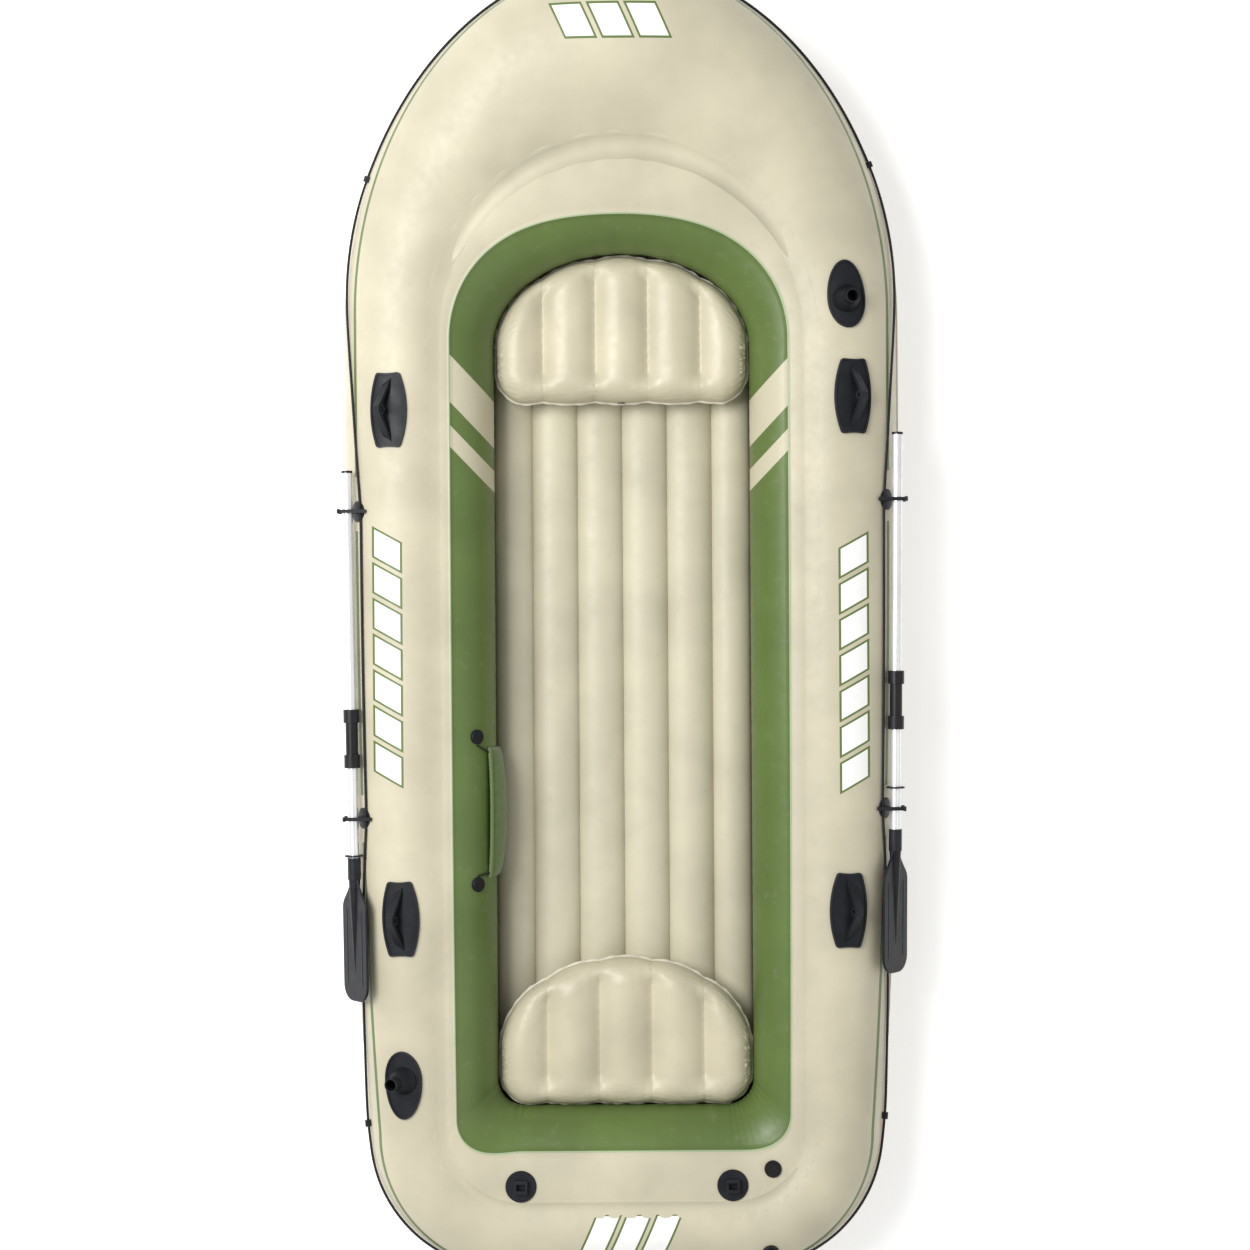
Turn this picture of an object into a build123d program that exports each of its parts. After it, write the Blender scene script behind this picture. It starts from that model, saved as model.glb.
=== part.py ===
from build123d import *
import os
from math import acos, cos, degrees, hypot, pi, radians, sin, sqrt, tan

# An inflatable rowing raft seen as it lies inflated on flat ground.
# Millimetres. +Y is the bow, +X is starboard, +Z is up.
# The origin is on the ground, at the middle of the raft's length and beam.

# ---------------------------------------------------------------- hull
HALF_LENGTH = 1695.0         # from the origin to the bow tip, and to the stern
HALF_BEAM = 724.0            # outer tube, at the front of the straight sides
STERN_HALF_BEAM = 672.0      # outer tube, where the stern corners begin
BOW_ROUND = 885.0            # length of the bow's round, outside
STERN_CORNER = 385.0         # radius of the stern corners, outside
WEB_HALF_BEAM = 481.0        # the wall between the two air chambers, front
WEB_STERN_HALF_BEAM = 472.0  # the same, where the stern corners begin
WEB_BOW_SETBACK = 465.0      # from the bow tip back to that wall
WEB_STERN_SETBACK = 200.0    # from the stern forward to that wall
WEB_CORNER = 205.0
COCKPIT_HALF_WIDTH = 337.0   # between the inner tube's two bulges
COCKPIT_BOW_SETBACK = 710.0  # from the bow tip back to the bulge
COCKPIT_STERN_SETBACK = 436.0
COCKPIT_ROUND = 243.0        # length of the cockpit's round front
COCKPIT_CORNER = 70.0
TUBE_RADIUS = 165.0          # outer tube, half its height along the sides
WEB_HALF_HEIGHT = 145.0
BOW_EXTRA_RADIUS = 25.0      # the tube is taller at the bow
BOW_SHEAR = 0.35             # the bow's outside rises by this much of its width
END_FULLNESS = 2.6           # how square the inner tube is at bow and stern
SKIN = 1.0                   # welded sheet of every air chamber
WEB_GAP = 1.6                # between the two chambers' halves of the web
SEAT_GAP = 0.3               # between a fitting's pad and the skin under it

# ---------------------------------------------------------------- floor
SHEET_THICKNESS = 1.0
SHEET_EDGE_RISE = 0.8        # clearance under the tube along the sheet's edge
KEEL_RADIUS = 2200.0         # in side view, where the bottom rises to the bow
KEEL_START = 1020.0
FLOOR_LOBE = 120.0           # width of each of the floor's six lobes
FLOOR_LOBES = 6
FLOOR_SEAM_HEIGHT = 62.0
FLOOR_CREST_HEIGHT = 86.0
FLOOR_TUCK = 24.0            # how far the floor runs in under the bulge
FLOOR_EDGE = 14.0            # the outer lobes are narrower by this

# ---------------------------------------------------------------- cushions
CUSHION_GAP = 5.0            # between a cushion and the cockpit's walls
CUSHION_DEPTH = 381.0
CUSHION_THICKNESS = 125.0
CUSHION_CORNER = 78.0
CUSHION_EDGE = 56.0
CUSHION_VALVE_RADIUS = 10.0
CUSHION_VALVE_HEIGHT = 4.0

# ---------------------------------------------------------------- oars
SHAFT_RADIUS = 13.5
SHAFT_WALL = 1.2
OAR_STAND_OFF = 27.5         # from the skin to the shaft's centre, at the clips
UPPER_SHAFT = 687.0          # its whole length, with what the sleeve hides
SLEEVE_LENGTH = 151.0
SLEEVE_RADIUS = 16.0
COLLAR_RADIUS = 21.0
COLLAR_LENGTH = 34.0
SLIDE_CLEARANCE = 0.2
RING_RADIUS = 23.5
RING_THICKNESS = 4.0
SOCKET_RADIUS = 17.0
SOCKET_LENGTH = 56.0
BLADE_LENGTH = 372.0
BLADE_HALF_WIDTH = 58.0
BLADE_THICKNESS = 7.0
BLADE_SPINE_RADIUS = 15.0
END_PLUG_LENGTH = 26.0
END_PLUG_RADIUS = 14.5
BLADE_LEAN = 52.0            # degrees between the blade and the ground
OAR_TOP_Y = {"port": 406.0, "starboard": 497.0}
RING_FROM_SOCKET = {"port": 3.0, "starboard": 106.0}

# ---------------------------------------------------------------- fittings
# Along the hull (Y), and across the tube as a share of its width.
ROWLOCKS = {"port_front_rowlock": (565.0, 0.49), "starboard_front_rowlock": (593.0, 0.47),
            "port_rear_rowlock": (-743.0, 0.44), "starboard_rear_rowlock": (-728.0, 0.43)}
ROD_HOLDERS = {"starboard_rod_holder": (843.0, 0.42, 1, 1.0), "port_rod_holder": (-1158.0, 0.48, -1, 9.0)}
OAR_CLIPS = {"port_front_oar_clip": 307.0, "port_rear_oar_clip": -488.0,
             "starboard_front_oar_clip": 330.0, "starboard_rear_oar_clip": -470.0}
ROPE_EYES = {"port_front_rope_eye": 1177.0, "starboard_front_rope_eye": 1205.0,
             "port_rear_rope_eye": -1294.0, "starboard_rear_rope_eye": -1283.0}
CLIP_ACROSS = 0.86
ROWLOCK_LENGTH = 195.0
ROWLOCK_WIDTH = 98.0
ROWLOCK_END = 62.0
ROWLOCK_PAD = 7.0
ROWLOCK_RISE = 42.0
ROWLOCK_STRAP = 22.0
ROWLOCK_STRAP_THICKNESS = 7.0
ROWLOCK_LEAN = 24.0
ROWLOCK_BORE = 6.0
ROD_PAD_LENGTH = 174.0
ROD_PAD_WIDTH = 99.0
ROD_PAD = 7.0
PAD_RIM = 5.0                # width of the raised rim round these pads
PAD_RIM_HEIGHT = 2.5
ROD_TUBE_RADIUS = 18.0
ROD_BORE = 14.5
ROD_BORE_FLOOR = 8.0
ROD_TUBE_LENGTH = 62.0
CLIP_RADIUS = 27.0
CLIP_PAD = 3.0
CLIP_FINGER = 6.0
CLIP_KNOB = 4.2              # radius of the knob on a finger's tip
CLIP_FINGER_WIDTH = 9.0
CLIP_REACH = 8.0
CLIP_GAP = 0.4
EYE_WIDTH = 16.0
EYE_REACH = 16.0
EYE_THICKNESS = 14.0
EYE_ACROSS = 0.985
ROPE_RADIUS = 3.5
ROPE_SLACK = 5.2             # the rope's runs between points are chords of the hull
ROPE_STERN_SLACK = 3.5       # more where it turns from the corner to the stern
ROPE_SIDE_SLACK = 1.4        # and along the sides, which are nearly straight
ROPE_BORE_GAP = 0.5
ROPE_RUN = 105.0
# how high the rope rides round the tube, in degrees above its outermost line
ROPE_BOW_ANGLE = 3.0
ROPE_EYE_ANGLE = {"front": 5.0, "rear": 12.0}
ROPE_CLIP_ANGLE = 46.0
ROPE_CORNER_ANGLE = 34.0
ROPE_STERN_ANGLE = 26.0
KNOT_RADIUS = 10.0
SOCKET_DISC_RADIUS = 40.0
SOCKET_DISC_PAD = 5.0
SOCKET_X = 273.0
SOCKET_BLOCK = 34.0
SOCKET_BLOCK_HEIGHT = 16.0
SOCKET_OPENING = (22.0, 16.0)
VALVE_RADIUS = 22.0
VALVE_RIM = 6.0
VALVE_CAP_RADIUS = 15.0
VALVE_CAP_HEIGHT = 7.0
VALVE_CAP_PIN = 5.0

# ---------------------------------------------------------------- pouch
POUCH_Y = -478.0
POUCH_LENGTH = 337.0
POUCH_BULGE = 30.0
POUCH_GAP = 2.0
POUCH_TOP = 30.0             # degrees above the bulge
POUCH_BOTTOM = -22.0
BUTTON_Y = {"pouch_front_button": -279.0, "pouch_rear_button": -662.0}
BUTTON_ACROSS = 0.68
BUTTON_RADIUS = 19.0
BUTTON_HEIGHT = 8.0
POUCH_CORD_RADIUS = 2.5

# Station along the hull and share across the tube, of the two air valves.
INNER_VALVE = (2.556, 0.245)
OUTER_VALVE = (2.82, 0.63)
SOCKET_ACROSS = 0.24
LOWER_EXPOSED = {"port": 233.0, "starboard": 259.0}

# Three outlines in plan, each from bow tip to stern along the starboard side.
# half width at the bow end and stern end of the side, length of the round,
# y of the tip, y of the stern, radius of the stern corner
OUTER = (HALF_BEAM, STERN_HALF_BEAM, BOW_ROUND, HALF_LENGTH, -HALF_LENGTH, STERN_CORNER)
WEB = (WEB_HALF_BEAM, WEB_STERN_HALF_BEAM, WEB_HALF_BEAM, HALF_LENGTH - WEB_BOW_SETBACK,
       WEB_STERN_SETBACK - HALF_LENGTH, WEB_CORNER)
COCKPIT = (COCKPIT_HALF_WIDTH, COCKPIT_HALF_WIDTH, COCKPIT_ROUND,
           HALF_LENGTH - COCKPIT_BOW_SETBACK, COCKPIT_STERN_SETBACK - HALF_LENGTH, COCKPIT_CORNER)
STATIONS = sorted([i / 8 for i in range(-2, 35)] + [0.95, 1.05, 1.95, 2.05, 2.95, 3.05])
PROFILE_POINTS = 11


def outline(t, shape):
    """A point of an outline: t is 0 at the bow tip, 1 and 2 at the ends of the
    side, 3 where the stern straightens and 4 at its middle."""
    front, back, reach, tip, stern, corner = shape
    if t < 0:
        x, y = outline(-t, shape)
        return -x, y
    if t > 4:
        x, y = outline(8 - t, shape)
        return -x, y
    if t <= 1:
        turn = t * pi / 2
        return front * sin(turn), tip - reach + reach * cos(turn)
    if t <= 2:
        side = t - 1
        start, end = tip - reach, stern + corner
        return front - (front - back) * side**3, start + (end - start) * side
    if t <= 3:
        turn = (t - 2) * pi / 2
        return back - corner + corner * cos(turn), stern + corner - corner * sin(turn)
    return (back - corner) * (4 - t), stern


def bow_share(t):
    return cos(t * pi / 2) ** 2 if abs(t) < 1 else 0.0


def end_share(t):
    """1 at the bow tip and along the stern, 0 along the sides."""
    return 1.0 if t >= 3 else sin((t - 2) * pi / 2) ** 2 if t > 2 else bow_share(t)


def across(t, shape):
    """Width of a tube at t, and the direction across it, from the web."""
    (wx, wy), (x, y) = outline(t, WEB), outline(t, shape)
    width = hypot(x - wx, y - wy)
    return width, (x - wx) / width, (y - wy) / width


def outer_point(t, angle, grow=0.0):
    """A point of the outer tube: angle is 0 at its outermost line, 90 on top."""
    (wx, wy), (width, dx, dy) = outline(t, WEB), across(t, OUTER)
    share = bow_share(t)
    centre_z = TUBE_RADIUS + BOW_EXTRA_RADIUS * share
    half_height = centre_z + grow
    web_share = (WEB_HALF_HEIGHT + grow) / half_height
    lean = sqrt(1 - web_share**2)
    inset = max(-grow, 0.0)
    reach = (width + grow - inset) / (1 + lean)
    u = inset + lean * reach + reach * cos(angle)
    z = centre_z + BOW_SHEAR * share * u + half_height * sin(angle)
    return Vector(wx + u * dx, wy + u * dy, z)


def outer_web_angle(t, grow):
    half_height = TUBE_RADIUS + BOW_EXTRA_RADIUS * bow_share(t) + grow
    return acos(-sqrt(1 - ((WEB_HALF_HEIGHT + grow) / half_height) ** 2))


def inner_point(t, angle, grow=0.0):
    """A point of the inner tube: angle is 0 at its bulge, 90 at the web's top."""
    (wx, wy), (width, dx, dy) = outline(t, WEB), across(t, COCKPIT)
    fullness = 2 + (END_FULLNESS - 2) * end_share(t)
    inset = WEB_GAP + max(-grow, 0.0)
    u = inset + (width + grow - inset) * max(cos(angle), 0.0) ** (2 / fullness)
    z = TUBE_RADIUS + BOW_EXTRA_RADIUS * bow_share(t) + (WEB_HALF_HEIGHT + grow) * sin(angle)
    return Vector(wx + u * dx, wy + u * dy, z)


def tube_section(t, point, web_angle, grow):
    top = web_angle(t, grow)
    turns = [top - 2 * top * i / (PROFILE_POINTS - 1) for i in range(PROFILE_POINTS)]
    points = [point(t, turn, grow) for turn in turns]
    return Face(Wire([Spline(*points), Line(points[-1], points[0])]))


def half_tube(point, web_angle, grow):
    """The starboard half of a tube, cut off at the middle plane."""
    whole = Solid.make_loft([tube_section(t, point, web_angle, grow).outer_wire() for t in STATIONS])
    return ShapeList(whole.split(Plane.YZ, keep=Keep.ALL)).sort_by(SortBy.VOLUME)[-1]


def air_chamber(point, web_angle):
    shell = half_tube(point, web_angle, 0.0) - half_tube(point, web_angle, -SKIN)
    half = shell.solids()[0]
    return half + half.mirror(Plane.YZ)


def square_angle(t, grow):
    return pi / 2


def find_station(wanted, axis, share, point):
    """The t at which a line drawn at this share of the tube's width has the
    wanted X or Y. Both fall steadily in the range that is searched."""
    low, high = (0.0, 3.0) if axis == 1 else (2.5, 4.0)
    for _ in range(40):
        middle = (low + high) / 2
        value = tuple(point(middle, share_angle(middle, share, point)))[axis]
        low, high = (middle, high) if value > wanted else (low, middle)
    return (low + high) / 2


def share_angle(t, share, point):
    if point is inner_point:
        fullness = 2 + (END_FULLNESS - 2) * end_share(t)
        return acos(share ** (fullness / 2))
    half_height = TUBE_RADIUS + BOW_EXTRA_RADIUS * bow_share(t)
    lean = sqrt(1 - (WEB_HALF_HEIGHT / half_height) ** 2)
    return acos(share * (1 + lean) - lean)


def skin_plane(t, angle, point):
    """A plane on the starboard skin: Z out of it and X towards the bow."""
    step = 0.002
    along = point(t - step, angle) - point(t + step, angle)
    up = point(t, angle + step) - point(t, angle - step)
    out = along.cross(up)
    if out.Z < 0:
        out = out * -1
    return Plane(origin=point(t, angle), x_dir=along, z_dir=out)


def plane_at(wanted, axis, share, point):
    t = find_station(wanted, axis, share, point)
    return skin_plane(t, share_angle(t, share, point), point)


def on_its_side(name, piece):
    """Everything is drawn to starboard, and the port pieces are mirrored."""
    return piece.mirror(Plane.YZ) if name.startswith("port") else piece


def save(name, piece):
    export_step(piece, f"parts/{name}.step")
    return piece


# ---------------------------------------------------------------- hull and floor
def bottom_line(t):
    """Just inside the line along which the outer tube touches the ground."""
    rise = (SHEET_THICKNESS + SHEET_EDGE_RISE) / TUBE_RADIUS
    p = outer_point(t, acos(sqrt(1 - (1 - rise) ** 2)) - pi)
    return p.X, p.Y


def bottom_sheet():
    """The sheet under the floor: flat, then rising in a long arc to the bow."""
    reach = 2 * HALF_LENGTH
    turn = (reach - KEEL_START) / KEEL_RADIUS
    flat = Line((-reach, 0), (KEEL_START, 0))
    rise = CenterArc((KEEL_START, KEEL_RADIUS), KEEL_RADIUS, -90, degrees(turn))
    top_rise = CenterArc((KEEL_START, KEEL_RADIUS), KEEL_RADIUS - SHEET_THICKNESS, -90, degrees(turn))
    top_flat = Line((KEEL_START, SHEET_THICKNESS), (-reach, SHEET_THICKNESS))
    ends = [Line(rise @ 1, top_rise @ 1), Line((-reach, SHEET_THICKNESS), (-reach, 0))]
    strip = extrude(Plane.YZ * make_face([flat, rise, top_rise, top_flat, *ends]), reach, both=True)
    shore = [bottom_line(t) for t in STATIONS if 0 <= t <= 3] + [bottom_line(4)]
    edge = Spline(*shore[:-1], tangents=((1, 0), (-1, 0)))
    plan = make_face([edge, Polyline(edge @ 1, shore[-1], shore[0])])
    half = extrude(plan, reach / 4)
    return strip & (half + half.mirror(Plane.YZ))


def floor_profile(grow):
    """The floor's section: flat below, a round lobe between each two seams."""
    half = FLOOR_LOBE * FLOOR_LOBES / 2 + grow
    bottom = SHEET_THICKNESS + SEAT_GAP - grow
    seam, crest = FLOOR_SEAM_HEIGHT + grow, FLOOR_CREST_HEIGHT + grow
    side = half - FLOOR_EDGE
    edges = [Line((-side, bottom), (side, bottom)), Line((side, bottom), (side, seam))]
    start = (side, seam)
    for lobe in range(FLOOR_LOBES):
        left = FLOOR_LOBE * (FLOOR_LOBES / 2 - lobe - 1)
        end = (left, seam) if lobe < FLOOR_LOBES - 1 else (-side, seam)
        edges.append(ThreePointArc(start, ((start[0] + end[0]) / 2, crest), end))
        start = end
    edges.append(Line(start, (-side, bottom)))
    return make_face(edges)


def d_shape(half, back, tip, round_length, corner):
    """An outline with a half-elliptical front and two rounded rear corners."""
    turn = tip - round_length
    bow = EllipticalCenterArc((0, turn), half, round_length, start_angle=0, arc_size=180)
    left = RadiusArc((-half, back + corner), (-half + corner, back), -corner)
    right = RadiusArc((half - corner, back), (half, back + corner), -corner)
    sides = [Line((-half, turn), left @ 0), Line(left @ 1, right @ 0), Line(right @ 1, (half, turn))]
    return make_face([bow, sides[0], left, sides[1], right, sides[2]])


def floor_plan(grow):
    """The floor's outline: the cockpit's, run in under the bulge."""
    half = FLOOR_LOBE * FLOOR_LOBES / 2 - FLOOR_EDGE + grow
    tuck = FLOOR_TUCK + grow
    tip = HALF_LENGTH - COCKPIT_BOW_SETBACK + tuck
    back = COCKPIT_STERN_SETBACK - HALF_LENGTH - tuck
    return d_shape(half, back, tip, COCKPIT_ROUND + tuck, COCKPIT_CORNER + tuck)


def inflatable_floor():
    reach = 2 * HALF_LENGTH
    tall = 2 * FLOOR_CREST_HEIGHT

    def body(grow):
        section = Plane.XZ * floor_profile(grow)
        bar = extrude(section, reach / 2, both=True)
        return bar & extrude(floor_plan(grow), tall)

    cells = body(-SKIN)
    for seam in range(1, FLOOR_LOBES):
        x = (seam - FLOOR_LOBES / 2) * FLOOR_LOBE
        cells -= Pos(x, 0, 0) * Box(SKIN, reach, tall)
    return body(0.0) - cells


def cushion(front_y, grow):
    """A D-shaped pillow, its round side to the bow; front_y is its flat edge."""
    half = COCKPIT_HALF_WIDTH - CUSHION_GAP + grow
    tip = front_y + CUSHION_DEPTH + grow
    plan = d_shape(half, front_y - grow, tip, COCKPIT_ROUND - CUSHION_GAP + grow, CUSHION_CORNER + grow)
    bottom = FLOOR_CREST_HEIGHT + SEAT_GAP - grow
    thick = CUSHION_THICKNESS + 2 * grow
    slab = Pos(0, 0, bottom) * extrude(plan, thick)
    rims = slab.faces().sort_by(Axis.Z)
    return fillet(rims[0].edges() + rims[-1].edges(), CUSHION_EDGE + grow)


def cushion_valve(flat_y):
    """A small plug low on the cushion's flat edge."""
    middle = FLOOR_CREST_HEIGHT + SEAT_GAP + CUSHION_THICKNESS / 2
    plane = Plane(origin=(0, flat_y, middle), z_dir=(0, -1, 0))
    return plane * Cylinder(CUSHION_VALVE_RADIUS, CUSHION_VALVE_HEIGHT, align=SIT)


# ---------------------------------------------------------------- fittings
def domed(outline_face, thickness):
    """A pad of this outline, lying on the tube and as round as it is."""
    deep = 40.0
    prism = Pos(0, 0, -deep) * extrude(outline_face, 2 * deep)
    dome = Rot(0, 90, 0) * Cylinder(TUBE_RADIUS + thickness, 4 * ROWLOCK_LENGTH)
    return prism & (Pos(0, 0, -TUBE_RADIUS) * dome)


def lens(inset):
    """The rowlock's outline, or a line inside it."""
    length, width, end = ROWLOCK_LENGTH / 2 - inset, ROWLOCK_WIDTH / 2 - inset, ROWLOCK_END / 2 - inset
    sides = [ThreePointArc((-length, s * end), (0, s * width), (length, s * end)) for s in (1, -1)]
    ends = [ThreePointArc((s * length, end), (s * (length - 3), 0), (s * length, -end)) for s in (1, -1)]
    face = make_face(sides + ends)
    return fillet(face.vertices(), 9 - inset / 2)


def rowlock(plane, seat):
    """A pad with an arched strap over it, leaning out, and a bored boss."""
    pad = rimmed(lens(0.0), lens(PAD_RIM), ROWLOCK_PAD)
    foot = ROWLOCK_LENGTH / 2 - 12
    top = ROWLOCK_RISE
    t = ROWLOCK_STRAP_THICKNESS
    band = make_face(Polyline((-foot, -6), (-7, top), (7, top), (foot, -6), close=True))
    hole = make_face(Polyline((-foot + 2 * t, -6 - t / 4), (-5, top - t), (5, top - t),
                              (foot - 2 * t, -6 - t / 4), close=True))
    arch_plane = Plane(origin=(0, 0, ROWLOCK_PAD / 2), x_dir=(1, 0, 0), z_dir=(0, -1, 0))
    arch = extrude(band - hole, ROWLOCK_STRAP / 2, both=True)
    boss_z = top - t - ROWLOCK_BORE
    boss = Pos(0, boss_z, 0) * Cylinder(ROWLOCK_BORE + 4, ROWLOCK_STRAP)
    bore = Pos(0, boss_z, 0) * Cylinder(ROWLOCK_BORE, 2 * ROWLOCK_STRAP)
    lean = Rot(ROWLOCK_LEAN, 0, 0)
    strap = lean * (arch_plane * (arch + boss - bore))
    return plane * (pad + strap) - seat


def rimmed(outline_face, basin_face, thickness):
    """A pad with a low raised rim round its edge."""
    deep = 40.0
    basin = Pos(0, 0, -deep) * extrude(basin_face, 2 * deep)
    below = domed(outline_face, thickness - PAD_RIM_HEIGHT)
    return domed(outline_face, thickness) - (basin - below)


def egg(inset):
    """The rod holder's outline, or a line inside it."""
    width = ROD_PAD_WIDTH / 2 - inset
    blunt, narrow = 0.43 * ROD_PAD_LENGTH - inset, 0.57 * ROD_PAD_LENGTH - inset
    first = EllipticalCenterArc((0, 0), narrow, width, start_angle=-90, arc_size=180)
    second = EllipticalCenterArc((0, 0), blunt, width, start_angle=90, arc_size=180)
    return make_face([first, second])


def rod_holder(plane, seat, towards, tilt):
    """An egg-shaped pad with a short tube that tilts outboard; towards is 1
    where the egg's narrow end points to the bow."""
    pad = rimmed(egg(0.0), egg(PAD_RIM), ROD_PAD)
    cone_height = 0.62 * ROD_TUBE_LENGTH
    cone = Cone(2.1 * ROD_TUBE_RADIUS, ROD_TUBE_RADIUS + 1, cone_height, align=SIT)
    tube = Cylinder(ROD_TUBE_RADIUS, ROD_TUBE_LENGTH, align=SIT)
    bore = Pos(0, 0, ROD_BORE_FLOOR) * Cylinder(ROD_BORE, ROD_TUBE_LENGTH, align=SIT)
    stem = Rot(tilt, 0, 0) * (cone + tube)
    solid = pad + stem - Rot(tilt, 0, 0) * bore
    if towards < 0:
        solid = solid.mirror(Plane.YZ)
    return plane * solid - seat


def clip_centre(y):
    """The centre of the oar's shaft in the clip at this y, to starboard."""
    t = find_station(y, 1, CLIP_ACROSS, outer_point)
    return skin_plane(t, share_angle(t, CLIP_ACROSS, outer_point), outer_point)


def oar_clip(y, seat, rope_way):
    """A round pad with two fingers, one over the shaft and one under it."""
    plane = clip_centre(y)
    centre = plane.from_local_coords(Vector(0, 0, OAR_STAND_OFF))
    inboard = Pos(0, CLIP_RADIUS / 4, 0)
    pad = plane * (inboard * domed(Face(Wire.make_circle(CLIP_RADIUS)), CLIP_PAD))
    mouth = SHAFT_RADIUS + CLIP_GAP
    reach = mouth + CLIP_REACH
    back = 2.6 * CLIP_RADIUS
    root = Align.MAX, Align.CENTER, Align.CENTER
    block = Box(back, CLIP_FINGER_WIDTH, 2 * (mouth + CLIP_FINGER), align=root)
    slot = Pos(mouth + CLIP_REACH, 0, 0) * Box(reach + mouth, 2 * CLIP_FINGER_WIDTH, 2 * mouth, align=root)
    fingers = Pos(reach, 0, 0) * block - slot
    knob = Rot(90, 0, 0) * Cylinder(CLIP_KNOB, CLIP_FINGER_WIDTH + 3)
    for way in (1, -1):
        fingers += Pos(reach, 0, way * (mouth + CLIP_KNOB + 0.4)) * knob
    return pad + Pos(centre.X, centre.Y, centre.Z) * fingers - seat - rope_way


def rope_eye(y, seat, rope_way):
    """A moulded tab on the tube's outermost line, with the rope through it."""
    t = find_station(y, 1, EYE_ACROSS, outer_point)
    place = "front" if y > 0 else "rear"
    plane = skin_plane(t, radians(ROPE_EYE_ANGLE[place]), outer_point)
    deep = 6.0
    tab = Pos(0, 0, -deep) * Box(EYE_WIDTH, EYE_THICKNESS, EYE_REACH + deep, align=SIT)
    tab = fillet(tab.edges().filter_by(Axis.X).sort_by(Axis.Z)[-2:], 4)
    return plane * tab - seat - rope_way


def motor_socket(plane, seat):
    """A disc with a square post, into which a motor bracket's leg drops."""
    disc = Pos(0, 0, -10) * Cylinder(SOCKET_DISC_RADIUS, 10 + SOCKET_DISC_PAD, align=SIT)
    disc = chamfer(disc.edges().sort_by(Axis.Z)[-1], 2)
    post = Box(SOCKET_BLOCK, SOCKET_BLOCK, SOCKET_DISC_PAD + SOCKET_BLOCK_HEIGHT, align=SIT)
    pocket = Pos(0, 0, SOCKET_DISC_PAD) * Box(*SOCKET_OPENING, 2 * SOCKET_BLOCK_HEIGHT, align=SIT)
    return plane * (disc + post - pocket) - seat


def valve_base(plane, seat):
    rim = Pos(0, 0, -10) * Cylinder(VALVE_RADIUS, 10 + VALVE_RIM, align=SIT)
    rim = chamfer(rim.edges().sort_by(Axis.Z)[-1], 2)
    well = Pos(0, 0, VALVE_RIM - 3) * Cylinder(VALVE_CAP_RADIUS + SLIDE_CLEARANCE, 10, align=SIT)
    bore = Cylinder(VALVE_CAP_PIN + SLIDE_CLEARANCE, 40)
    return plane * (rim - well - bore) - seat


def valve_cap(plane):
    """A screw cap with a milled edge, and the plug that closes the bore."""
    foot = VALVE_RIM - 3 + SLIDE_CLEARANCE
    cap = Pos(0, 0, foot) * Cylinder(VALVE_CAP_RADIUS, VALVE_CAP_HEIGHT, align=SIT)
    cap = chamfer(cap.edges().sort_by(Axis.Z)[-1], 1)
    pin = Pos(0, 0, SEAT_GAP + 1) * Cylinder(VALVE_CAP_PIN, foot, align=SIT)
    grip = Pos(0, 0, foot + VALVE_CAP_HEIGHT - 1) * Box(1.5 * VALVE_CAP_RADIUS, 4, 5, align=SIT)
    return plane * (cap + pin + grip)


# ---------------------------------------------------------------- pouch
def pouch_profile_point(angle, grow):
    t = find_station(POUCH_Y, 1, 1.0, inner_point)
    p = inner_point(t, radians(angle), grow)
    return p.X, p.Z


def pouch():
    """A fabric pocket hanging over the inner tube's bulge, to port."""
    top, bottom = pouch_profile_point(POUCH_TOP, POUCH_GAP), pouch_profile_point(POUCH_BOTTOM, POUCH_GAP)
    wall = pouch_profile_point((POUCH_TOP + POUCH_BOTTOM) / 2, POUCH_GAP)
    belly = pouch_profile_point((POUCH_TOP + POUCH_BOTTOM) / 2, POUCH_GAP + POUCH_BULGE)
    lip = 3.0
    top_front = (top[0] - lip, top[1] + lip)
    profile = make_face([ThreePointArc(bottom, wall, top), Line(top, top_front),
                         ThreePointArc(top_front, belly, bottom)])
    bag = extrude(Plane.XZ * profile, POUCH_LENGTH / 2, both=True)
    return Pos(0, POUCH_Y, 0) * bag


def button(y, seat):
    """A round button welded to the inner wall, from which the pouch hangs."""
    plane = plane_at(y, 1, BUTTON_ACROSS, inner_point)
    disc = Pos(0, 0, -6) * Cylinder(BUTTON_RADIUS, 6 + BUTTON_HEIGHT, align=SIT)
    disc = fillet(disc.edges().sort_by(Axis.Z)[-1], 2.5)
    return plane * disc - seat


def pouch_cord(y):
    """A short tight cord from a button's edge to the pouch's top corner."""
    plane = plane_at(y, 1, BUTTON_ACROSS, inner_point)
    way = 1 if y < POUCH_Y else -1
    corner = pouch_profile_point(POUCH_TOP, POUCH_GAP + POUCH_CORD_RADIUS + SEAT_GAP)
    end = Vector(corner[0], POUCH_Y - way * (POUCH_LENGTH / 2 - 12), corner[1] + 3.5)
    start = plane.from_local_coords(Vector(way * (BUTTON_RADIUS + POUCH_CORD_RADIUS + SEAT_GAP), 0, BUTTON_HEIGHT / 2))
    run = end - start
    return Plane(origin=start, z_dir=run) * Cylinder(POUCH_CORD_RADIUS, run.length, align=SIT)


# ---------------------------------------------------------------- grab rope
def rope_offset(t):
    beyond_side = max(1.1 - t, t - 1.9, 0)
    slack = ROPE_SIDE_SLACK + (ROPE_SLACK - ROPE_SIDE_SLACK) * min(1, 10 * beyond_side)
    if 2.15 < t < 3.7:
        slack += ROPE_STERN_SLACK
    return ROPE_RADIUS + SEAT_GAP + slack


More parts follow.
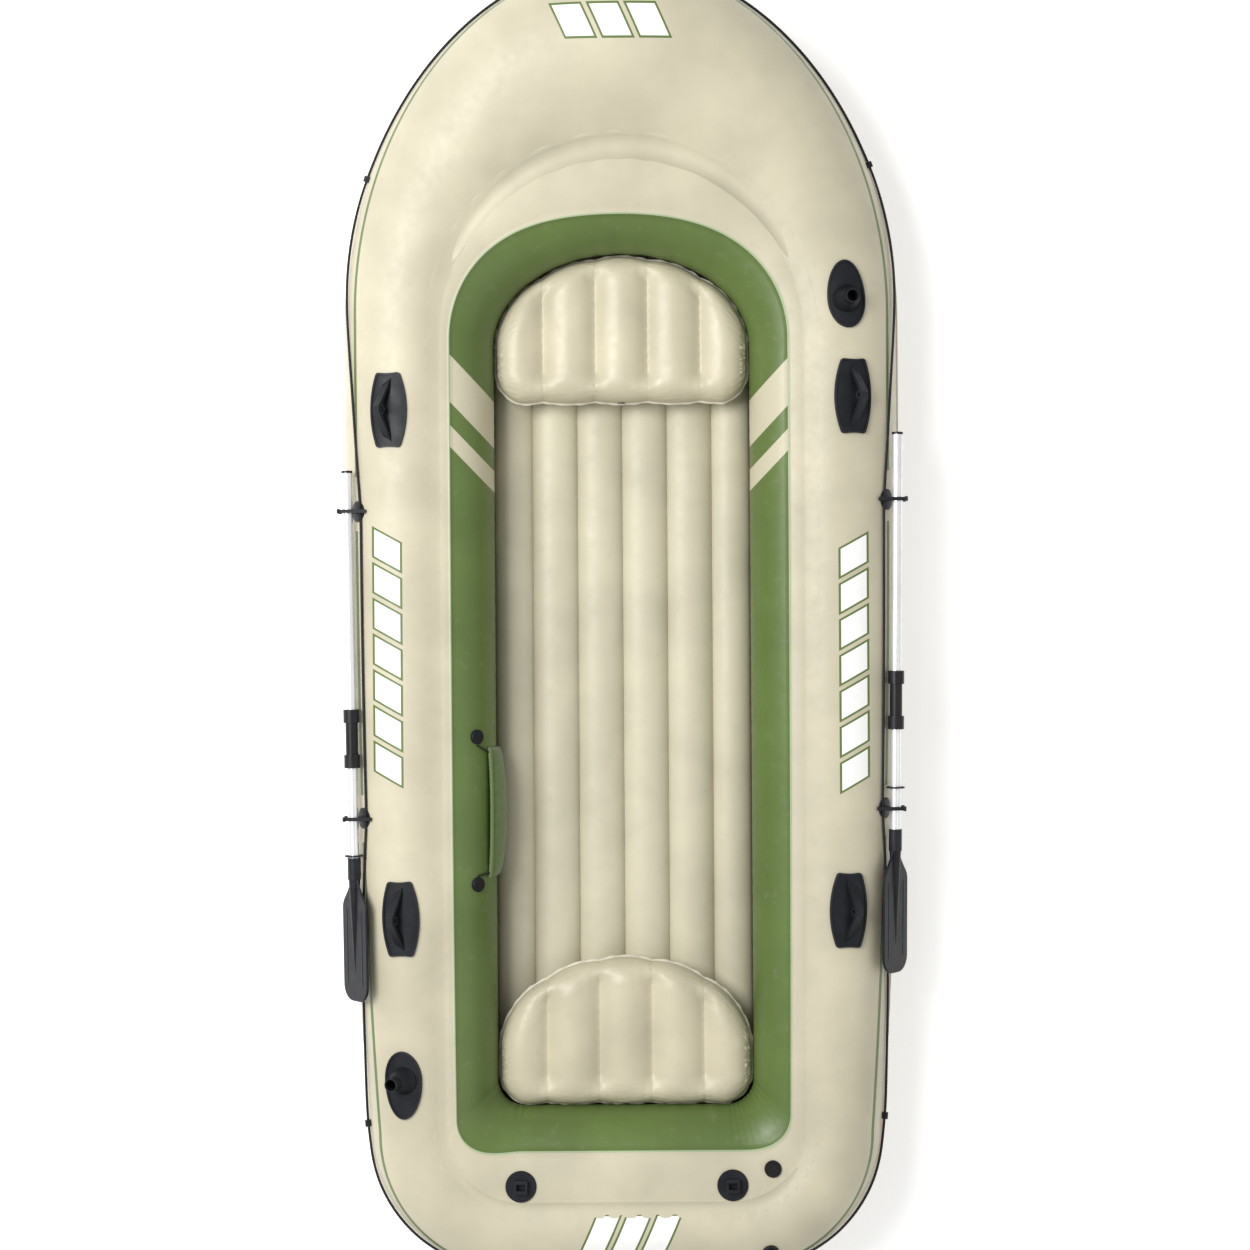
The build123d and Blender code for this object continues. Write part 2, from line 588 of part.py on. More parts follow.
def rope_side(side):
    """The rope's points from the middle of the bow to the knot at the stern."""
    eyes = {name.split("_")[1]: find_station(y, 1, EYE_ACROSS, outer_point)
            for name, y in ROPE_EYES.items() if name.startswith(side)}
    clips = {name.split("_")[1]: find_station(y, 1, CLIP_ACROSS, outer_point)
             for name, y in OAR_CLIPS.items() if name.startswith(side)}
    marks = [(0, ROPE_BOW_ANGLE), (eyes["front"], ROPE_EYE_ANGLE["front"]), (clips["front"], ROPE_CLIP_ANGLE),
             (clips["rear"], ROPE_CLIP_ANGLE), (eyes["rear"], ROPE_EYE_ANGLE["rear"]),
             (2.6, ROPE_CORNER_ANGLE), (4, ROPE_STERN_ANGLE)]
    points = []
    for (start, low), (end, high) in zip(marks, marks[1:]):
        ends = outer_point(start, radians(low)), outer_point(end, radians(high))
        count = max(1, round((ends[1] - ends[0]).length / ROPE_RUN))
        for i in range(count):
            share = i / count
            t = start + (end - start) * share
            points.append(outer_point(t, radians(low + (high - low) * share), rope_offset(t)))
    points.append(outer_point(4, radians(ROPE_STERN_ANGLE), KNOT_RADIUS + SEAT_GAP))
    return points


def rope_path(near, far):
    """The whole rope's line, with its near side to starboard."""
    opposite = [Vector(-p.X, p.Y, p.Z) for p in rope_side(far)]
    points = rope_side(near)[::-1] + opposite[1:]
    gap = Vector(KNOT_RADIUS + 2 * SEAT_GAP, 0, 0)
    points[0] += gap
    points[-1] -= gap
    radii = []
    for before, here, after in zip(points, points[1:], points[2:]):
        first, second = here - before, after - here
        turn = radians(first.get_angle(second))
        radii.append(0.45 * min(first.length, second.length) / tan(turn / 2))
    print("grab rope radii", round(min(radii)), "to", round(max(radii)))
    return FilletPolyline(*points, radius=radii)


def cord(path, radius):
    start = Plane(origin=path @ 0, z_dir=path % 0)
    return sweep(start * Circle(radius), path=path)


def knot():
    centre = outer_point(4, radians(ROPE_STERN_ANGLE), KNOT_RADIUS + SEAT_GAP)
    return Pos(centre.X, centre.Y, centre.Z) * Sphere(KNOT_RADIUS)


# ---------------------------------------------------------------- oars
def oar_plane(side):
    """The oar's own frame to starboard: its origin is the top end's middle,
    Z runs along the shaft to the bow and X is outboard."""
    ys = {name.split("_")[1]: y for name, y in OAR_CLIPS.items() if name.startswith(side)}
    off = Vector(0, 0, OAR_STAND_OFF)
    front, rear = (clip_centre(ys[place]).from_local_coords(off) for place in ("front", "rear"))
    along = (front - rear).normalized()
    top = front + along * ((OAR_TOP_Y[side] - front.Y) / along.Y)
    return Plane(origin=top, x_dir=(1, 0, 0), z_dir=along)


def ring(outer, inner, length):
    return Cylinder(outer, length, align=HANG) - Cylinder(inner, length, align=HANG)


def blade():
    """A socket, a plate that leans like the tube's flank, a spine and ribs."""
    bore = SHAFT_RADIUS + SLIDE_CLEARANCE
    socket = Cylinder(SOCKET_RADIUS, SOCKET_LENGTH, align=HANG)
    neck, wide = -SOCKET_LENGTH + 8, -0.36 * BLADE_LENGTH
    half, tip = BLADE_HALF_WIDTH, -BLADE_LENGTH
    corner = 0.72 * half
    left = [Spline((-BLADE_SPINE_RADIUS, neck), (-0.75 * half, 0.62 * wide + 0.38 * neck), (-half, wide),
                   tangents=((-0.2, -1), (0, -1))), Line((-half, wide), (-half, tip + corner))]
    left.append(RadiusArc((-half, tip + corner), (-half + corner, tip), -corner))
    outline_half = [*left, Line((-half + corner, tip), (0, tip)), Line((0, tip), (0, neck)),
                    Line((0, neck), (-BLADE_SPINE_RADIUS, neck))]
    plate = extrude(make_face(outline_half), BLADE_THICKNESS / 2, both=True)
    plate += plate.mirror(Plane.YZ)
    plate = fillet(plate.edges().filter_by(Axis.Z, reverse=True), BLADE_THICKNESS / 2 - 0.4)
    for x in (-0.62 * half, 0.62 * half):
        rib = Cylinder(BLADE_THICKNESS / 2 + 1.2, BLADE_LENGTH + wide - corner, align=HANG)
        plate += Pos(x, wide, 0) * (Rot(-90, 0, 0) * rib)
    lean = Rot(0, 0, -(180 - BLADE_LEAN))
    stand = Rot(90, 0, 0)
    spine = Pos(0, 0, -SOCKET_LENGTH) * Cone(4, BLADE_SPINE_RADIUS, 0.8 * BLADE_LENGTH - SOCKET_LENGTH, align=HANG)
    solid = socket + lean * (stand * plate) + spine
    return solid - Cylinder(bore, SOCKET_LENGTH - 4, align=HANG)


def oar(side):
    """All the pieces of one oar, in its frame: from the top end down."""
    exposed_top = UPPER_SHAFT - SLEEVE_LENGTH / 2
    sleeve_bore = SHAFT_RADIUS + SLIDE_CLEARANCE
    tube_bore = SHAFT_RADIUS - SHAFT_WALL
    socket_top = exposed_top + SLEEVE_LENGTH + LOWER_EXPOSED[side]
    lower_start = UPPER_SHAFT + 1
    lower_length = socket_top + SOCKET_LENGTH - 6 - lower_start
    plug = Cylinder(END_PLUG_RADIUS, 6) + Pos(0, 0, -3) * Cylinder(tube_bore - SLIDE_CLEARANCE,
                                                                     END_PLUG_LENGTH - 6, align=HANG)
    collar = ring(COLLAR_RADIUS, SLEEVE_RADIUS + SLIDE_CLEARANCE, COLLAR_LENGTH)
    pieces = {
        "upper_shaft": (0, ring(SHAFT_RADIUS, tube_bore, UPPER_SHAFT)),
        "end_plug": (3 + SEAT_GAP / 3, plug),
        "joint_sleeve": (-exposed_top, ring(SLEEVE_RADIUS, sleeve_bore, SLEEVE_LENGTH)),
        "upper_collar": (-exposed_top, collar),
        "lower_collar": (-exposed_top - SLEEVE_LENGTH + COLLAR_LENGTH, collar),
        "lower_shaft": (-lower_start, ring(SHAFT_RADIUS, tube_bore, lower_length)),
        "drip_ring": (-socket_top + RING_FROM_SOCKET[side] + RING_THICKNESS,
                      ring(RING_RADIUS, sleeve_bore, RING_THICKNESS)),
        "blade": (-socket_top, blade()),
    }
    plane = oar_plane(side)
    print(side, "oar top", plane.origin, "axis", plane.z_dir)
    return {f"{side}_oar_{name}": plane * (Pos(0, 0, z) * piece) for name, (z, piece) in pieces.items()}


SIT = (Align.CENTER, Align.CENTER, Align.MIN)
HANG = (Align.CENTER, Align.CENTER, Align.MAX)


def main():
    os.makedirs("parts", exist_ok=True)
    save("outer_chamber", air_chamber(outer_point, outer_web_angle))
    save("inner_chamber", air_chamber(inner_point, square_angle))
    save("bottom_sheet", bottom_sheet())
    save("inflatable_floor", inflatable_floor())
    outer_seat = half_tube(outer_point, outer_web_angle, SEAT_GAP)
    inner_seat = half_tube(inner_point, square_angle, SEAT_GAP)

    cockpit_bow = HALF_LENGTH - COCKPIT_BOW_SETBACK - CUSHION_GAP
    cockpit_stern = COCKPIT_STERN_SETBACK - HALF_LENGTH + CUSHION_GAP
    for name, flat_y in (("front", cockpit_bow - CUSHION_DEPTH), ("rear", cockpit_stern)):
        save(f"{name}_cushion", cushion(flat_y, 0.0) - cushion(flat_y, -SKIN))
        save(f"{name}_cushion_valve", cushion_valve(flat_y))

    path = rope_path("starboard", "port")
    save("grab_rope", cord(path, ROPE_RADIUS))
    rope_way = cord(path, ROPE_RADIUS + ROPE_BORE_GAP)
    save("grab_rope_knot", knot())
    port_way = cord(rope_path("port", "starboard"), ROPE_RADIUS + ROPE_BORE_GAP)

    for name, (y, share) in ROWLOCKS.items():
        plane = plane_at(y, 1, share, outer_point)
        save(name, on_its_side(name, rowlock(plane, outer_seat)))
    for name, (y, share, towards, tilt) in ROD_HOLDERS.items():
        plane = plane_at(y, 1, share, outer_point)
        save(name, on_its_side(name, rod_holder(plane, outer_seat, towards, tilt)))
    for name, y in OAR_CLIPS.items():
        way = port_way if name.startswith("port") else rope_way
        save(name, on_its_side(name, oar_clip(y, outer_seat, way)))
    for name, y in ROPE_EYES.items():
        way = port_way if name.startswith("port") else rope_way
        save(name, on_its_side(name, rope_eye(y, outer_seat, way)))
    for side in ("port", "starboard"):
        for name, piece in oar(side).items():
            save(name, on_its_side(name, piece))

    socket_plane = plane_at(SOCKET_X, 0, SOCKET_ACROSS, inner_point)
    for name in ("port_motor_socket", "starboard_motor_socket"):
        save(name, on_its_side(name, motor_socket(socket_plane, inner_seat)))
    for chamber, (t, share), point in (("inner", INNER_VALVE, inner_point), ("outer", OUTER_VALVE, outer_point)):
        seat = inner_seat if point is inner_point else outer_seat
        plane = skin_plane(t, share_angle(t, share, point), point)
        print(chamber, "valve", plane.origin, plane.z_dir)
        save(f"{chamber}_valve", valve_base(plane, seat))
        save(f"{chamber}_valve_cap", valve_cap(plane))

    save("pouch", pouch().mirror(Plane.YZ))
    for name, y in BUTTON_Y.items():
        save(name, button(y, inner_seat).mirror(Plane.YZ))
        save(name.replace("button", "cord"), pouch_cord(y).mirror(Plane.YZ))


if __name__ == "__main__":
    main()
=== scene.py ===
"""An inflatable rowing raft, put together in the order in which it is made up:
air tubes, floor, cushions, grab line, fittings, oars, pouch, then the studio."""
import math
from math import acos, cos, exp, hypot, pi, radians, sin, sqrt

import bmesh
import bpy
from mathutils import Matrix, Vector, noise


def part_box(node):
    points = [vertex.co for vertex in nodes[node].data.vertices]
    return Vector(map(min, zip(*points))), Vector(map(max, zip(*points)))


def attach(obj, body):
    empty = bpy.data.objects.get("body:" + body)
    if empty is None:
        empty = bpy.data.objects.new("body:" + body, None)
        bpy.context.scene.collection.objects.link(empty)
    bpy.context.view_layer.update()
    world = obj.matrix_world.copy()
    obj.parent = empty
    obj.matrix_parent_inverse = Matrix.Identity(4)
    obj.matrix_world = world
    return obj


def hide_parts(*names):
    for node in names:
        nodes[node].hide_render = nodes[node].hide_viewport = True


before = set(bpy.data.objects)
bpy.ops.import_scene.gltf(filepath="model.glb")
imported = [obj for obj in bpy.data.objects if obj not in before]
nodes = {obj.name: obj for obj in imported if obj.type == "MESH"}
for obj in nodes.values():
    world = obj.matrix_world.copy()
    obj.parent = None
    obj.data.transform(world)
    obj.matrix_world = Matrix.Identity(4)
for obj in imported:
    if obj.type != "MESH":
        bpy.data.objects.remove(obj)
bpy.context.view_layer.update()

# ---------------------------------------------------------------- hull plan
# The hull is two air tubes side by side. Three lines in plan, all at mid
# height, give their shape: the outside of the outer tube, the wall between
# the tubes, and the cockpit. Sizes here are in millimetres.
# Each: half beam before and aft of the side, length of the bow's round, Y of
# its tip, Y of the stern, and the stern corner's radius.
OUTER = (724, 672, 885, 1695, -1695, 385)
WEB = (481, 472, 481, 1230, -1495, 205)
COCKPIT = (337, 337, 243, 985, -1259, 70)
TUBE_RADIUS = 165
WEB_HALF_HEIGHT = 145
BOW_EXTRA_RADIUS = 25
BOW_SHEAR = 0.35
END_FULLNESS = 2.6
WALL_GAP = 1.6


def outline(t, line):
    """t is 0 at the bow, 1 to 2 along the side, 3 to 4 across the stern."""
    front, back, reach, tip, stern, corner = line
    if t > 4:
        x, y = outline(8 - t, line)
        return -x, y
    if t <= 1:
        turn = t * pi / 2
        return front * sin(turn), tip - reach + reach * cos(turn)
    if t <= 2:
        along = t - 1
        start, end = tip - reach, stern + corner
        return front - (front - back) * along**3, start + (end - start) * along
    if t <= 3:
        turn = (t - 2) * pi / 2
        return back - corner + corner * cos(turn), stern + corner - corner * sin(turn)
    return (back - corner) * (4 - t), stern


def bow_share(t):
    t = min(t, 8 - t)
    return cos(t * pi / 2) ** 2 if t < 1 else 0.0


def end_share(t):
    t = min(t, 8 - t)
    return 1.0 if t >= 3 else sin((t - 2) * pi / 2) ** 2 if t > 2 else bow_share(t)


def tube_width(t, line):
    (wx, wy), (x, y) = outline(t, WEB), outline(t, line)
    width = hypot(x - wx, y - wy)
    return width, (x - wx) / width, (y - wy) / width


def outer_shape(t):
    """Height of the outer tube's centre, the circle's lean past the wall, reach."""
    half = TUBE_RADIUS + BOW_EXTRA_RADIUS * bow_share(t)
    lean = sqrt(1 - (WEB_HALF_HEIGHT / half) ** 2)
    return half, lean, tube_width(t, OUTER)[0] / (1 + lean)


def outer_skin(t, angle, proud=0.0):
    """A point on the outer tube in metres: 0 is its outermost line, 90 its top."""
    (wx, wy), (_, dx, dy) = outline(t, WEB), tube_width(t, OUTER)
    half, lean, reach = outer_shape(t)
    u = lean * reach + (reach + proud) * cos(angle)
    z = half + BOW_SHEAR * bow_share(t) * u + (half + proud) * sin(angle)
    return Vector((wx + u * dx, wy + u * dy, z)) / 1000


def inner_skin(t, angle, proud=0.0):
    """A point on the inner tube in metres: 0 is its bulge into the cockpit."""
    (wx, wy), (width, dx, dy) = outline(t, WEB), tube_width(t, COCKPIT)
    fullness = 2 + (END_FULLNESS - 2) * end_share(t)
    u = WALL_GAP + (width + proud - WALL_GAP) * max(cos(angle), 0.0) ** (2 / fullness)
    z = TUBE_RADIUS + BOW_EXTRA_RADIUS * bow_share(t) + (WEB_HALF_HEIGHT + proud) * sin(angle)
    return Vector((wx + u * dx, wy + u * dy, z)) / 1000


def inner_angle(t, share):
    """The angle at which the inner tube reaches this share of its width."""
    fullness = 2 + (END_FULLNESS - 2) * end_share(t)
    return acos(share ** (fullness / 2))


def stations(bow, side, corner, stern):
    half = [i / bow for i in range(bow)] + [1 + i / side for i in range(side)]
    half += [2 + i / corner for i in range(corner)] + [3 + i / stern for i in range(stern)]
    return half + [4.0] + [8 - t for t in reversed(half[1:])]


# ---------------------------------------------------------------- PVC sheet
# Raft sheet is calendered PVC: a satin skin with a fine embossed grain, a
# little cloudy in colour. The same sheet is used in beige, green and white.
BEIGE = (0.535, 0.495, 0.365)
GREEN = (0.104, 0.158, 0.040)
MINT = (0.36, 0.44, 0.27)
PRINT_WHITE = (0.86, 0.86, 0.84)


def link(tree, source, socket):
    """Joins a socket to another, or sets it to a plain value."""
    if isinstance(source, bpy.types.NodeSocket):
        tree.links.new(source, socket)
    else:
        socket.default_value = source


def number(tree, operation, *values):
    node = tree.nodes.new("ShaderNodeMath")
    node.operation = operation
    for value, socket in zip(values, node.inputs):
        link(tree, value, socket)
    return node.outputs[0]


def blend_colour(tree, share, first, second):
    node = tree.nodes.new("ShaderNodeMix")
    node.data_type = "RGBA"
    link(tree, share, node.inputs[0])
    for colour, socket in ((first, node.inputs[6]), (second, node.inputs[7])):
        link(tree, (*colour, 1) if isinstance(colour, tuple) else colour, socket)
    return node.outputs[2]


def grain(tree, place, scale, detail=3.0, kind="ShaderNodeTexNoise"):
    node = tree.nodes.new(kind)
    tree.links.new(place, node.inputs["Vector"])
    node.inputs["Scale"].default_value = scale
    if "Detail" in node.inputs:
        node.inputs["Detail"].default_value = detail
    return node.outputs[0]


def ramp(tree, value, low, high, start=0.0, end=1.0):
    node = tree.nodes.new("ShaderNodeMapRange")
    for source, socket in zip((value, low, high, start, end), node.inputs):
        link(tree, source, socket)
    return node.outputs[0]


def blank(name, roughness=0.5, metallic=0.0, specular=0.5):
    """A material with only its shader, and the place that patterns read."""
    material = bpy.data.materials.new(name)
    material.use_nodes = True
    tree = material.node_tree
    shader = tree.nodes["Principled BSDF"]
    shader.inputs["Roughness"].default_value = roughness
    shader.inputs["Metallic"].default_value = metallic
    shader.inputs["Specular IOR Level"].default_value = specular
    place = tree.nodes.new("ShaderNodeTexCoord").outputs["Object"]
    return material, tree, shader, place


def raise_grain(tree, shader, height, distance, strength=1.0, under=None):
    bump = tree.nodes.new("ShaderNodeBump")
    bump.inputs["Distance"].default_value = distance
    bump.inputs["Strength"].default_value = strength
    tree.links.new(height, bump.inputs["Height"])
    if under is not None:
        tree.links.new(under, bump.inputs["Normal"])
    tree.links.new(bump.outputs["Normal"], shader.inputs["Normal"])
    return bump.outputs["Normal"]


def pvc(name, colour, roughness=0.46, prints=None):
    material, tree, shader, place = blank(name, roughness)
    shader.inputs["Specular IOR Level"].default_value = 0.40
    cloud = grain(tree, place, 5.0, 4.0)
    scuffs = grain(tree, place, 38.0, 6.0)
    darker = tuple(c * 0.90 for c in colour)
    lighter = tuple(min(c * 1.05, 1.0) for c in colour)
    base = blend_colour(tree, ramp(tree, cloud, 0.35, 0.65), darker, lighter)
    if prints:
        base = prints(tree, place, base)
    base = blend_colour(tree, ramp(tree, scuffs, 0.60, 0.80, 0.0, 0.14), base, (0.35, 0.33, 0.29))
    link(tree, base, shader.inputs["Base Color"])
    link(tree, ramp(tree, scuffs, 0.3, 0.7, roughness - 0.06, roughness + 0.08), shader.inputs["Roughness"])
    emboss = grain(tree, place, 520.0, 2.0, "ShaderNodeTexVoronoi")
    creases = grain(tree, place, 22.0, 5.0)
    fine = raise_grain(tree, shader, emboss, 0.00010, 0.5)
    raise_grain(tree, shader, creases, 0.0022, 0.35, fine)
    return material


# Printed panels: slanted white bars with a green rim, in place of lettering.
# Each: the way it runs, its middle and half length, its middle and half width,
# the bars' pitch and their slant.
PANELS = (("Y", -0.070, 0.322, -0.606, 0.040, 0.092, 0.55),
          ("Y", -0.092, 0.322, 0.594, 0.040, 0.092, -0.55),
          ("X", -0.022, 0.141, 1.527, 0.046, 0.094, 0.45),
          ("X", 0.010, 0.117, -1.556, 0.050, 0.078, -0.45))
PRINT_RIM = 0.006
PRINT_BAR = 0.44             # half a bar's width, as a share of the pitch
PRINT_FLOOR = 0.2            # prints are only on the tube's top


def tube_prints(tree, place, base):
    axes = tree.nodes.new("ShaderNodeSeparateXYZ")
    tree.links.new(place, axes.inputs[0])
    x, y, z = axes.outputs
    for way, middle, half, centre, wide, pitch, slant in PANELS:
        along, across = (y, x) if way == "Y" else (x, y)
        a = number(tree, "SUBTRACT", along, middle)
        c = number(tree, "SUBTRACT", across, centre)
        leaning = number(tree, "MULTIPLY_ADD", c, slant, a)
        gap = number(tree, "PINGPONG", number(tree, "ADD", leaning, 10 * pitch), pitch / 2)
        top = number(tree, "GREATER_THAN", z, PRINT_FLOOR)
        for rim, colour in ((0.0, GREEN), (PRINT_RIM, PRINT_WHITE)):
            inside = number(tree, "LESS_THAN", number(tree, "ABSOLUTE", leaning), half - rim)
            inside = number(tree, "MULTIPLY", inside, top)
            in_width = number(tree, "LESS_THAN", number(tree, "ABSOLUTE", c), wide - rim)
            bar = number(tree, "LESS_THAN", gap, PRINT_BAR * pitch - rim)
            mask = number(tree, "MULTIPLY", number(tree, "MULTIPLY", inside, in_width), bar)
            base = blend_colour(tree, mask, base, colour)
    return base


# Two beige slashes cross the green at the front of the cockpit's walls. They
# run aft as they go in from the weld, and on down past the bulge.
# Each: its middle, in Y at the weld, and its half width.
SLASHES = ((0.642, 0.061), (0.493, 0.028))
SLASH_START = 0.437
SLASH_SLOPE = 1.05
BULGE_HEIGHT = 0.165


def wall_slashes(tree, place, base):
    axes = tree.nodes.new("ShaderNodeSeparateXYZ")
    tree.links.new(place, axes.inputs[0])
    x, y, z = axes.outputs
    inward = number(tree, "SUBTRACT", SLASH_START, number(tree, "ABSOLUTE", x))
    below = number(tree, "MAXIMUM", number(tree, "SUBTRACT", BULGE_HEIGHT, z), 0.0)
    drop = number(tree, "MULTIPLY", below, 2.0)
    back = number(tree, "MULTIPLY_ADD", number(tree, "ADD", inward, drop), SLASH_SLOPE, y)
    for middle, half in SLASHES:
        off = number(tree, "ABSOLUTE", number(tree, "SUBTRACT", back, middle))
        base = blend_colour(tree, number(tree, "LESS_THAN", off, half), base, BEIGE)
    return base


beige_sheet = pvc("beige_sheet", BEIGE)
tube_sheet = pvc("tube_sheet", BEIGE, prints=tube_prints)
green_sheet = pvc("green_sheet", GREEN, 0.38, wall_slashes)
green_stripe = pvc("green_stripe", GREEN, 0.38)
mint_weld = pvc("mint_weld", MINT, 0.35)
pale_weld = pvc("pale_weld", (0.60, 0.565, 0.45), 0.34)


# ---------------------------------------------------------------- air tubes
# Each tube is welded from shaped panels: beige outside, and green towards
# the cockpit, with a raised weld where the two colours meet. The sheet
# puckers on the inside of every bend.
PINSTRIPE_INSET = 30
PINSTRIPE_WIDTH = 8
# Behind the oars the stripe stops: top and bottom in Y of each gap, by side.
STRIPE_GAPS = {-1: ((396, 248), (-431, -558)), 1: ((411, 276), (-407, -537))}
WELD_HALF = 2.2


def new_piece(name, points, faces, materials):
    mesh = bpy.data.meshes.new(name)
    mesh.from_pydata(points, [], faces)
    for material in materials:
        mesh.materials.append(material)
    piece = bpy.data.objects.new(name, mesh)
    bpy.context.scene.collection.objects.link(piece)
    mesh.shade_smooth()
    return piece


def ring_piece(name, ts, rows, materials, paint):
    """A closed tube: rows(t) gives each station's closed section."""
    sections = [rows(t) for t in ts]
    count = len(sections[0])
    points = [p for section in sections for p in section]
    faces, slots = [], []
    for i, t in enumerate(ts):
        for j in range(count):
            here, there = i * count, (i + 1) % len(ts) * count
            k = (j + 1) % count
            faces.append((here + j, here + k, there + k, there + j))
            slots.append(paint(t, j, points[here + j]))
    piece = new_piece(name, points, faces, materials)
    piece.data.polygons.foreach_set("material_index", slots)
    tidy_normals(piece)
    return piece


def tidy_normals(piece):
    work = bmesh.new()
    work.from_mesh(piece.data)
    bmesh.ops.remove_doubles(work, verts=work.verts, dist=0.00002)
    bmesh.ops.recalc_face_normals(work, faces=work.faces)
    work.to_mesh(piece.data)
    work.free()


def ripple(x, y, pitch, seed=0.0):
    """A puckering sheet: waves of uneven pitch, from -1 to 1."""
    drift = noise.noise(Vector((x * 2.3, y * 2.3, seed))) * 1.6
    return sin(2 * pi * ((x + y) / pitch + drift))


def seam_share(t):
    """Where the colours meet across the inner tube; nearer the wall to port."""
    side = 0.34 if t < 4 else 0.24
    return side + (0.65 - side) * bow_share(t) + (0.60 - side) * (end_share(t) - bow_share(t))


def bend_pucker(t, share, crease):
    """How far the sheet puckers at a station, most at bends and at creases."""
    s = min(t, 8 - t)
    bend = 0.35 + 0.65 * (bow_share(t) + (1 if 2 <= s <= 3 else 0.3 * end_share(t)))
    x, y = outline(t, WEB)
    way = math.atan2(y, x) * 520 if s < 1 else x + y
    wave = sin(2 * pi * (way / 46 + 1.4 * noise.noise(Vector((x / 300, y / 300, share)))))
    return bend * wave * crease


UPPER_ROWS = 22
OUTER_ROWS = 46
INNER_TOP_ROWS = 12
INNER_LOW_ROWS = 34


def outer_section(t):
    half, lean, reach = outer_shape(t)
    top = acos(-lean)
    inset = PINSTRIPE_INSET * (1 - 0.8 * bow_share(t))
    first = acos(1 - inset / reach)
    last = acos(1 - (inset + PINSTRIPE_WIDTH) / reach)
    upper = [top + (last - top) * i / UPPER_ROWS for i in range(UPPER_ROWS)]
    lower = [first + (-top - first) * i / OUTER_ROWS for i in range(OUTER_ROWS + 1)]
    section = []
    for angle in upper + [last] + lower:
        depth = (top - abs(angle)) / top
        folds = 1.3 * bend_pucker(t, 0.0, exp(-14 * depth)) if depth > 0 else 0.0
        section.append(outer_skin(t, angle, folds))
    return section


def outer_paint(t, row, point):
    if row != UPPER_ROWS:
        return 0
    side = 1 if point.x > 0 else -1
    y = point.y * 1000
    return 0 if any(low < y < high for high, low in STRIPE_GAPS[side]) else 1


def inner_section(t):
    share = seam_share(t)
    width = tube_width(t, COCKPIT)[0]
    edge = WELD_HALF / width
    section = [inner_skin(t, pi / 2)]
    for i in range(1, INNER_TOP_ROWS):
        s = (share - edge) * (i / INNER_TOP_ROWS) ** 1.3
        section.append(inner_skin(t, inner_angle(t, s), 0.8 * bend_pucker(t, 1.0, exp(-9 * s))))
    for s, rise in ((-1, 0), (-0.6, 0.8), (0, 1.1), (0.6, 0.8), (1, 0)):
        section.append(inner_skin(t, inner_angle(t, share + s * edge), rise))
    start = inner_angle(t, share + edge)
    for i in range(1, INNER_LOW_ROWS + 1):
        angle = start + (-pi / 2 - start) * i / INNER_LOW_ROWS
        fold = exp(-((angle - 0.15) / 0.5) ** 2)
        section.append(inner_skin(t, angle, 0.7 * bend_pucker(t, 2.0, fold) - 0.4))
    return section


def inner_paint(t, row, point):
    if row < INNER_TOP_ROWS:
        return 0
    return 1 if row < INNER_TOP_ROWS + 4 else 2


def plain_paint(*face):
    return 0


ring = stations(100, 240, 60, 40)
outer_tube = ring_piece("outer_air_tube", ring, outer_section, (tube_sheet, green_stripe), outer_paint)
inner_tube = ring_piece("inner_air_tube", ring, inner_section, (beige_sheet, mint_weld, green_sheet),
                        inner_paint)
tubes = ((outer_tube, "outer_chamber", "beige_pvc"), (inner_tube, "inner_chamber", "green_pvc"))
for tube, node, slot in tubes:
    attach(tube, "hull")
    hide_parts(node)


# The outer tube's top and bottom sheets meet in a welded edge, trimmed by
# hand, that stands out all round and waves at the stern corners.
EDGE_WIDTH = 6.0
EDGE_HALF_THICKNESS = 0.6


def edge_section(t):
    s = min(t, 8 - t)
    stern = min(max((s - 1.8) / 0.3, 0), 1)
    x, y = outline(t, OUTER)
    wave = sin(2 * pi * (x - y) / 62) + 0.6 * sin(2 * pi * (x + 1.7 * y) / 41)
    width = EDGE_WIDTH + stern * (2.0 + 1.3 * wave)
    lift = stern * 0.010 * sin(2 * pi * (x - y) / 55 + 1)
    return [outer_skin(t, lift + side * EDGE_HALF_THICKNESS / TUBE_RADIUS, out)
            for out, side in ((-2, 1), (width, 1), (width, -1), (-2, -1))]


welded_edge = ring_piece("outer_welded_edge", stations(160, 300, 120, 60), edge_section, (pale_weld,),
                         plain_paint)
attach(welded_edge, "hull")

# The sheet is drawn smooth over the crease between the tubes: it leaves the
# outer tube and meets the inner tube along their slopes, in a soft hollow.
CREASE_REACH = 0.16
CREASE_SHARE = 0.08
CREASE_ROWS = 10
CREASE_TUCK = 0.0012
CREASE_RUN = 0.012


def crease_section(t):
    top = acos(-outer_shape(t)[1])
    low = inner_angle(t, CREASE_SHARE)
    high, seat = outer_skin(t, top - CREASE_REACH), inner_skin(t, low)
    fall = (outer_skin(t, top - CREASE_REACH + 0.002) - high).normalized()
    rise = (inner_skin(t, low + 0.002) - seat).normalized()
    across = Vector((fall.x, fall.y, 0)).normalized()
    gap = seat - high
    u, z = gap.dot(across), gap.z
    fu, ru = fall.dot(across), rise.dot(across)
    along = (u * rise.z - z * ru) / (fu * rise.z - fall.z * ru)
    corner = high + fall * along
    steps = [i / CREASE_ROWS for i in range(CREASE_ROWS + 1)]
    upper = [high * (1 - s) ** 2 + corner * 2 * s * (1 - s) + seat * s**2 for s in steps]
    under = Vector((0, 0, CREASE_TUCK))
    before, after = high - fall * CREASE_RUN - under, seat - rise * CREASE_RUN - under
    return [before] + upper + [after, after - under * 2, before - under * 2]


crease_strip = ring_piece("crease_strip", ring, crease_section, (beige_sheet,), plain_paint)
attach(crease_strip, "hull")

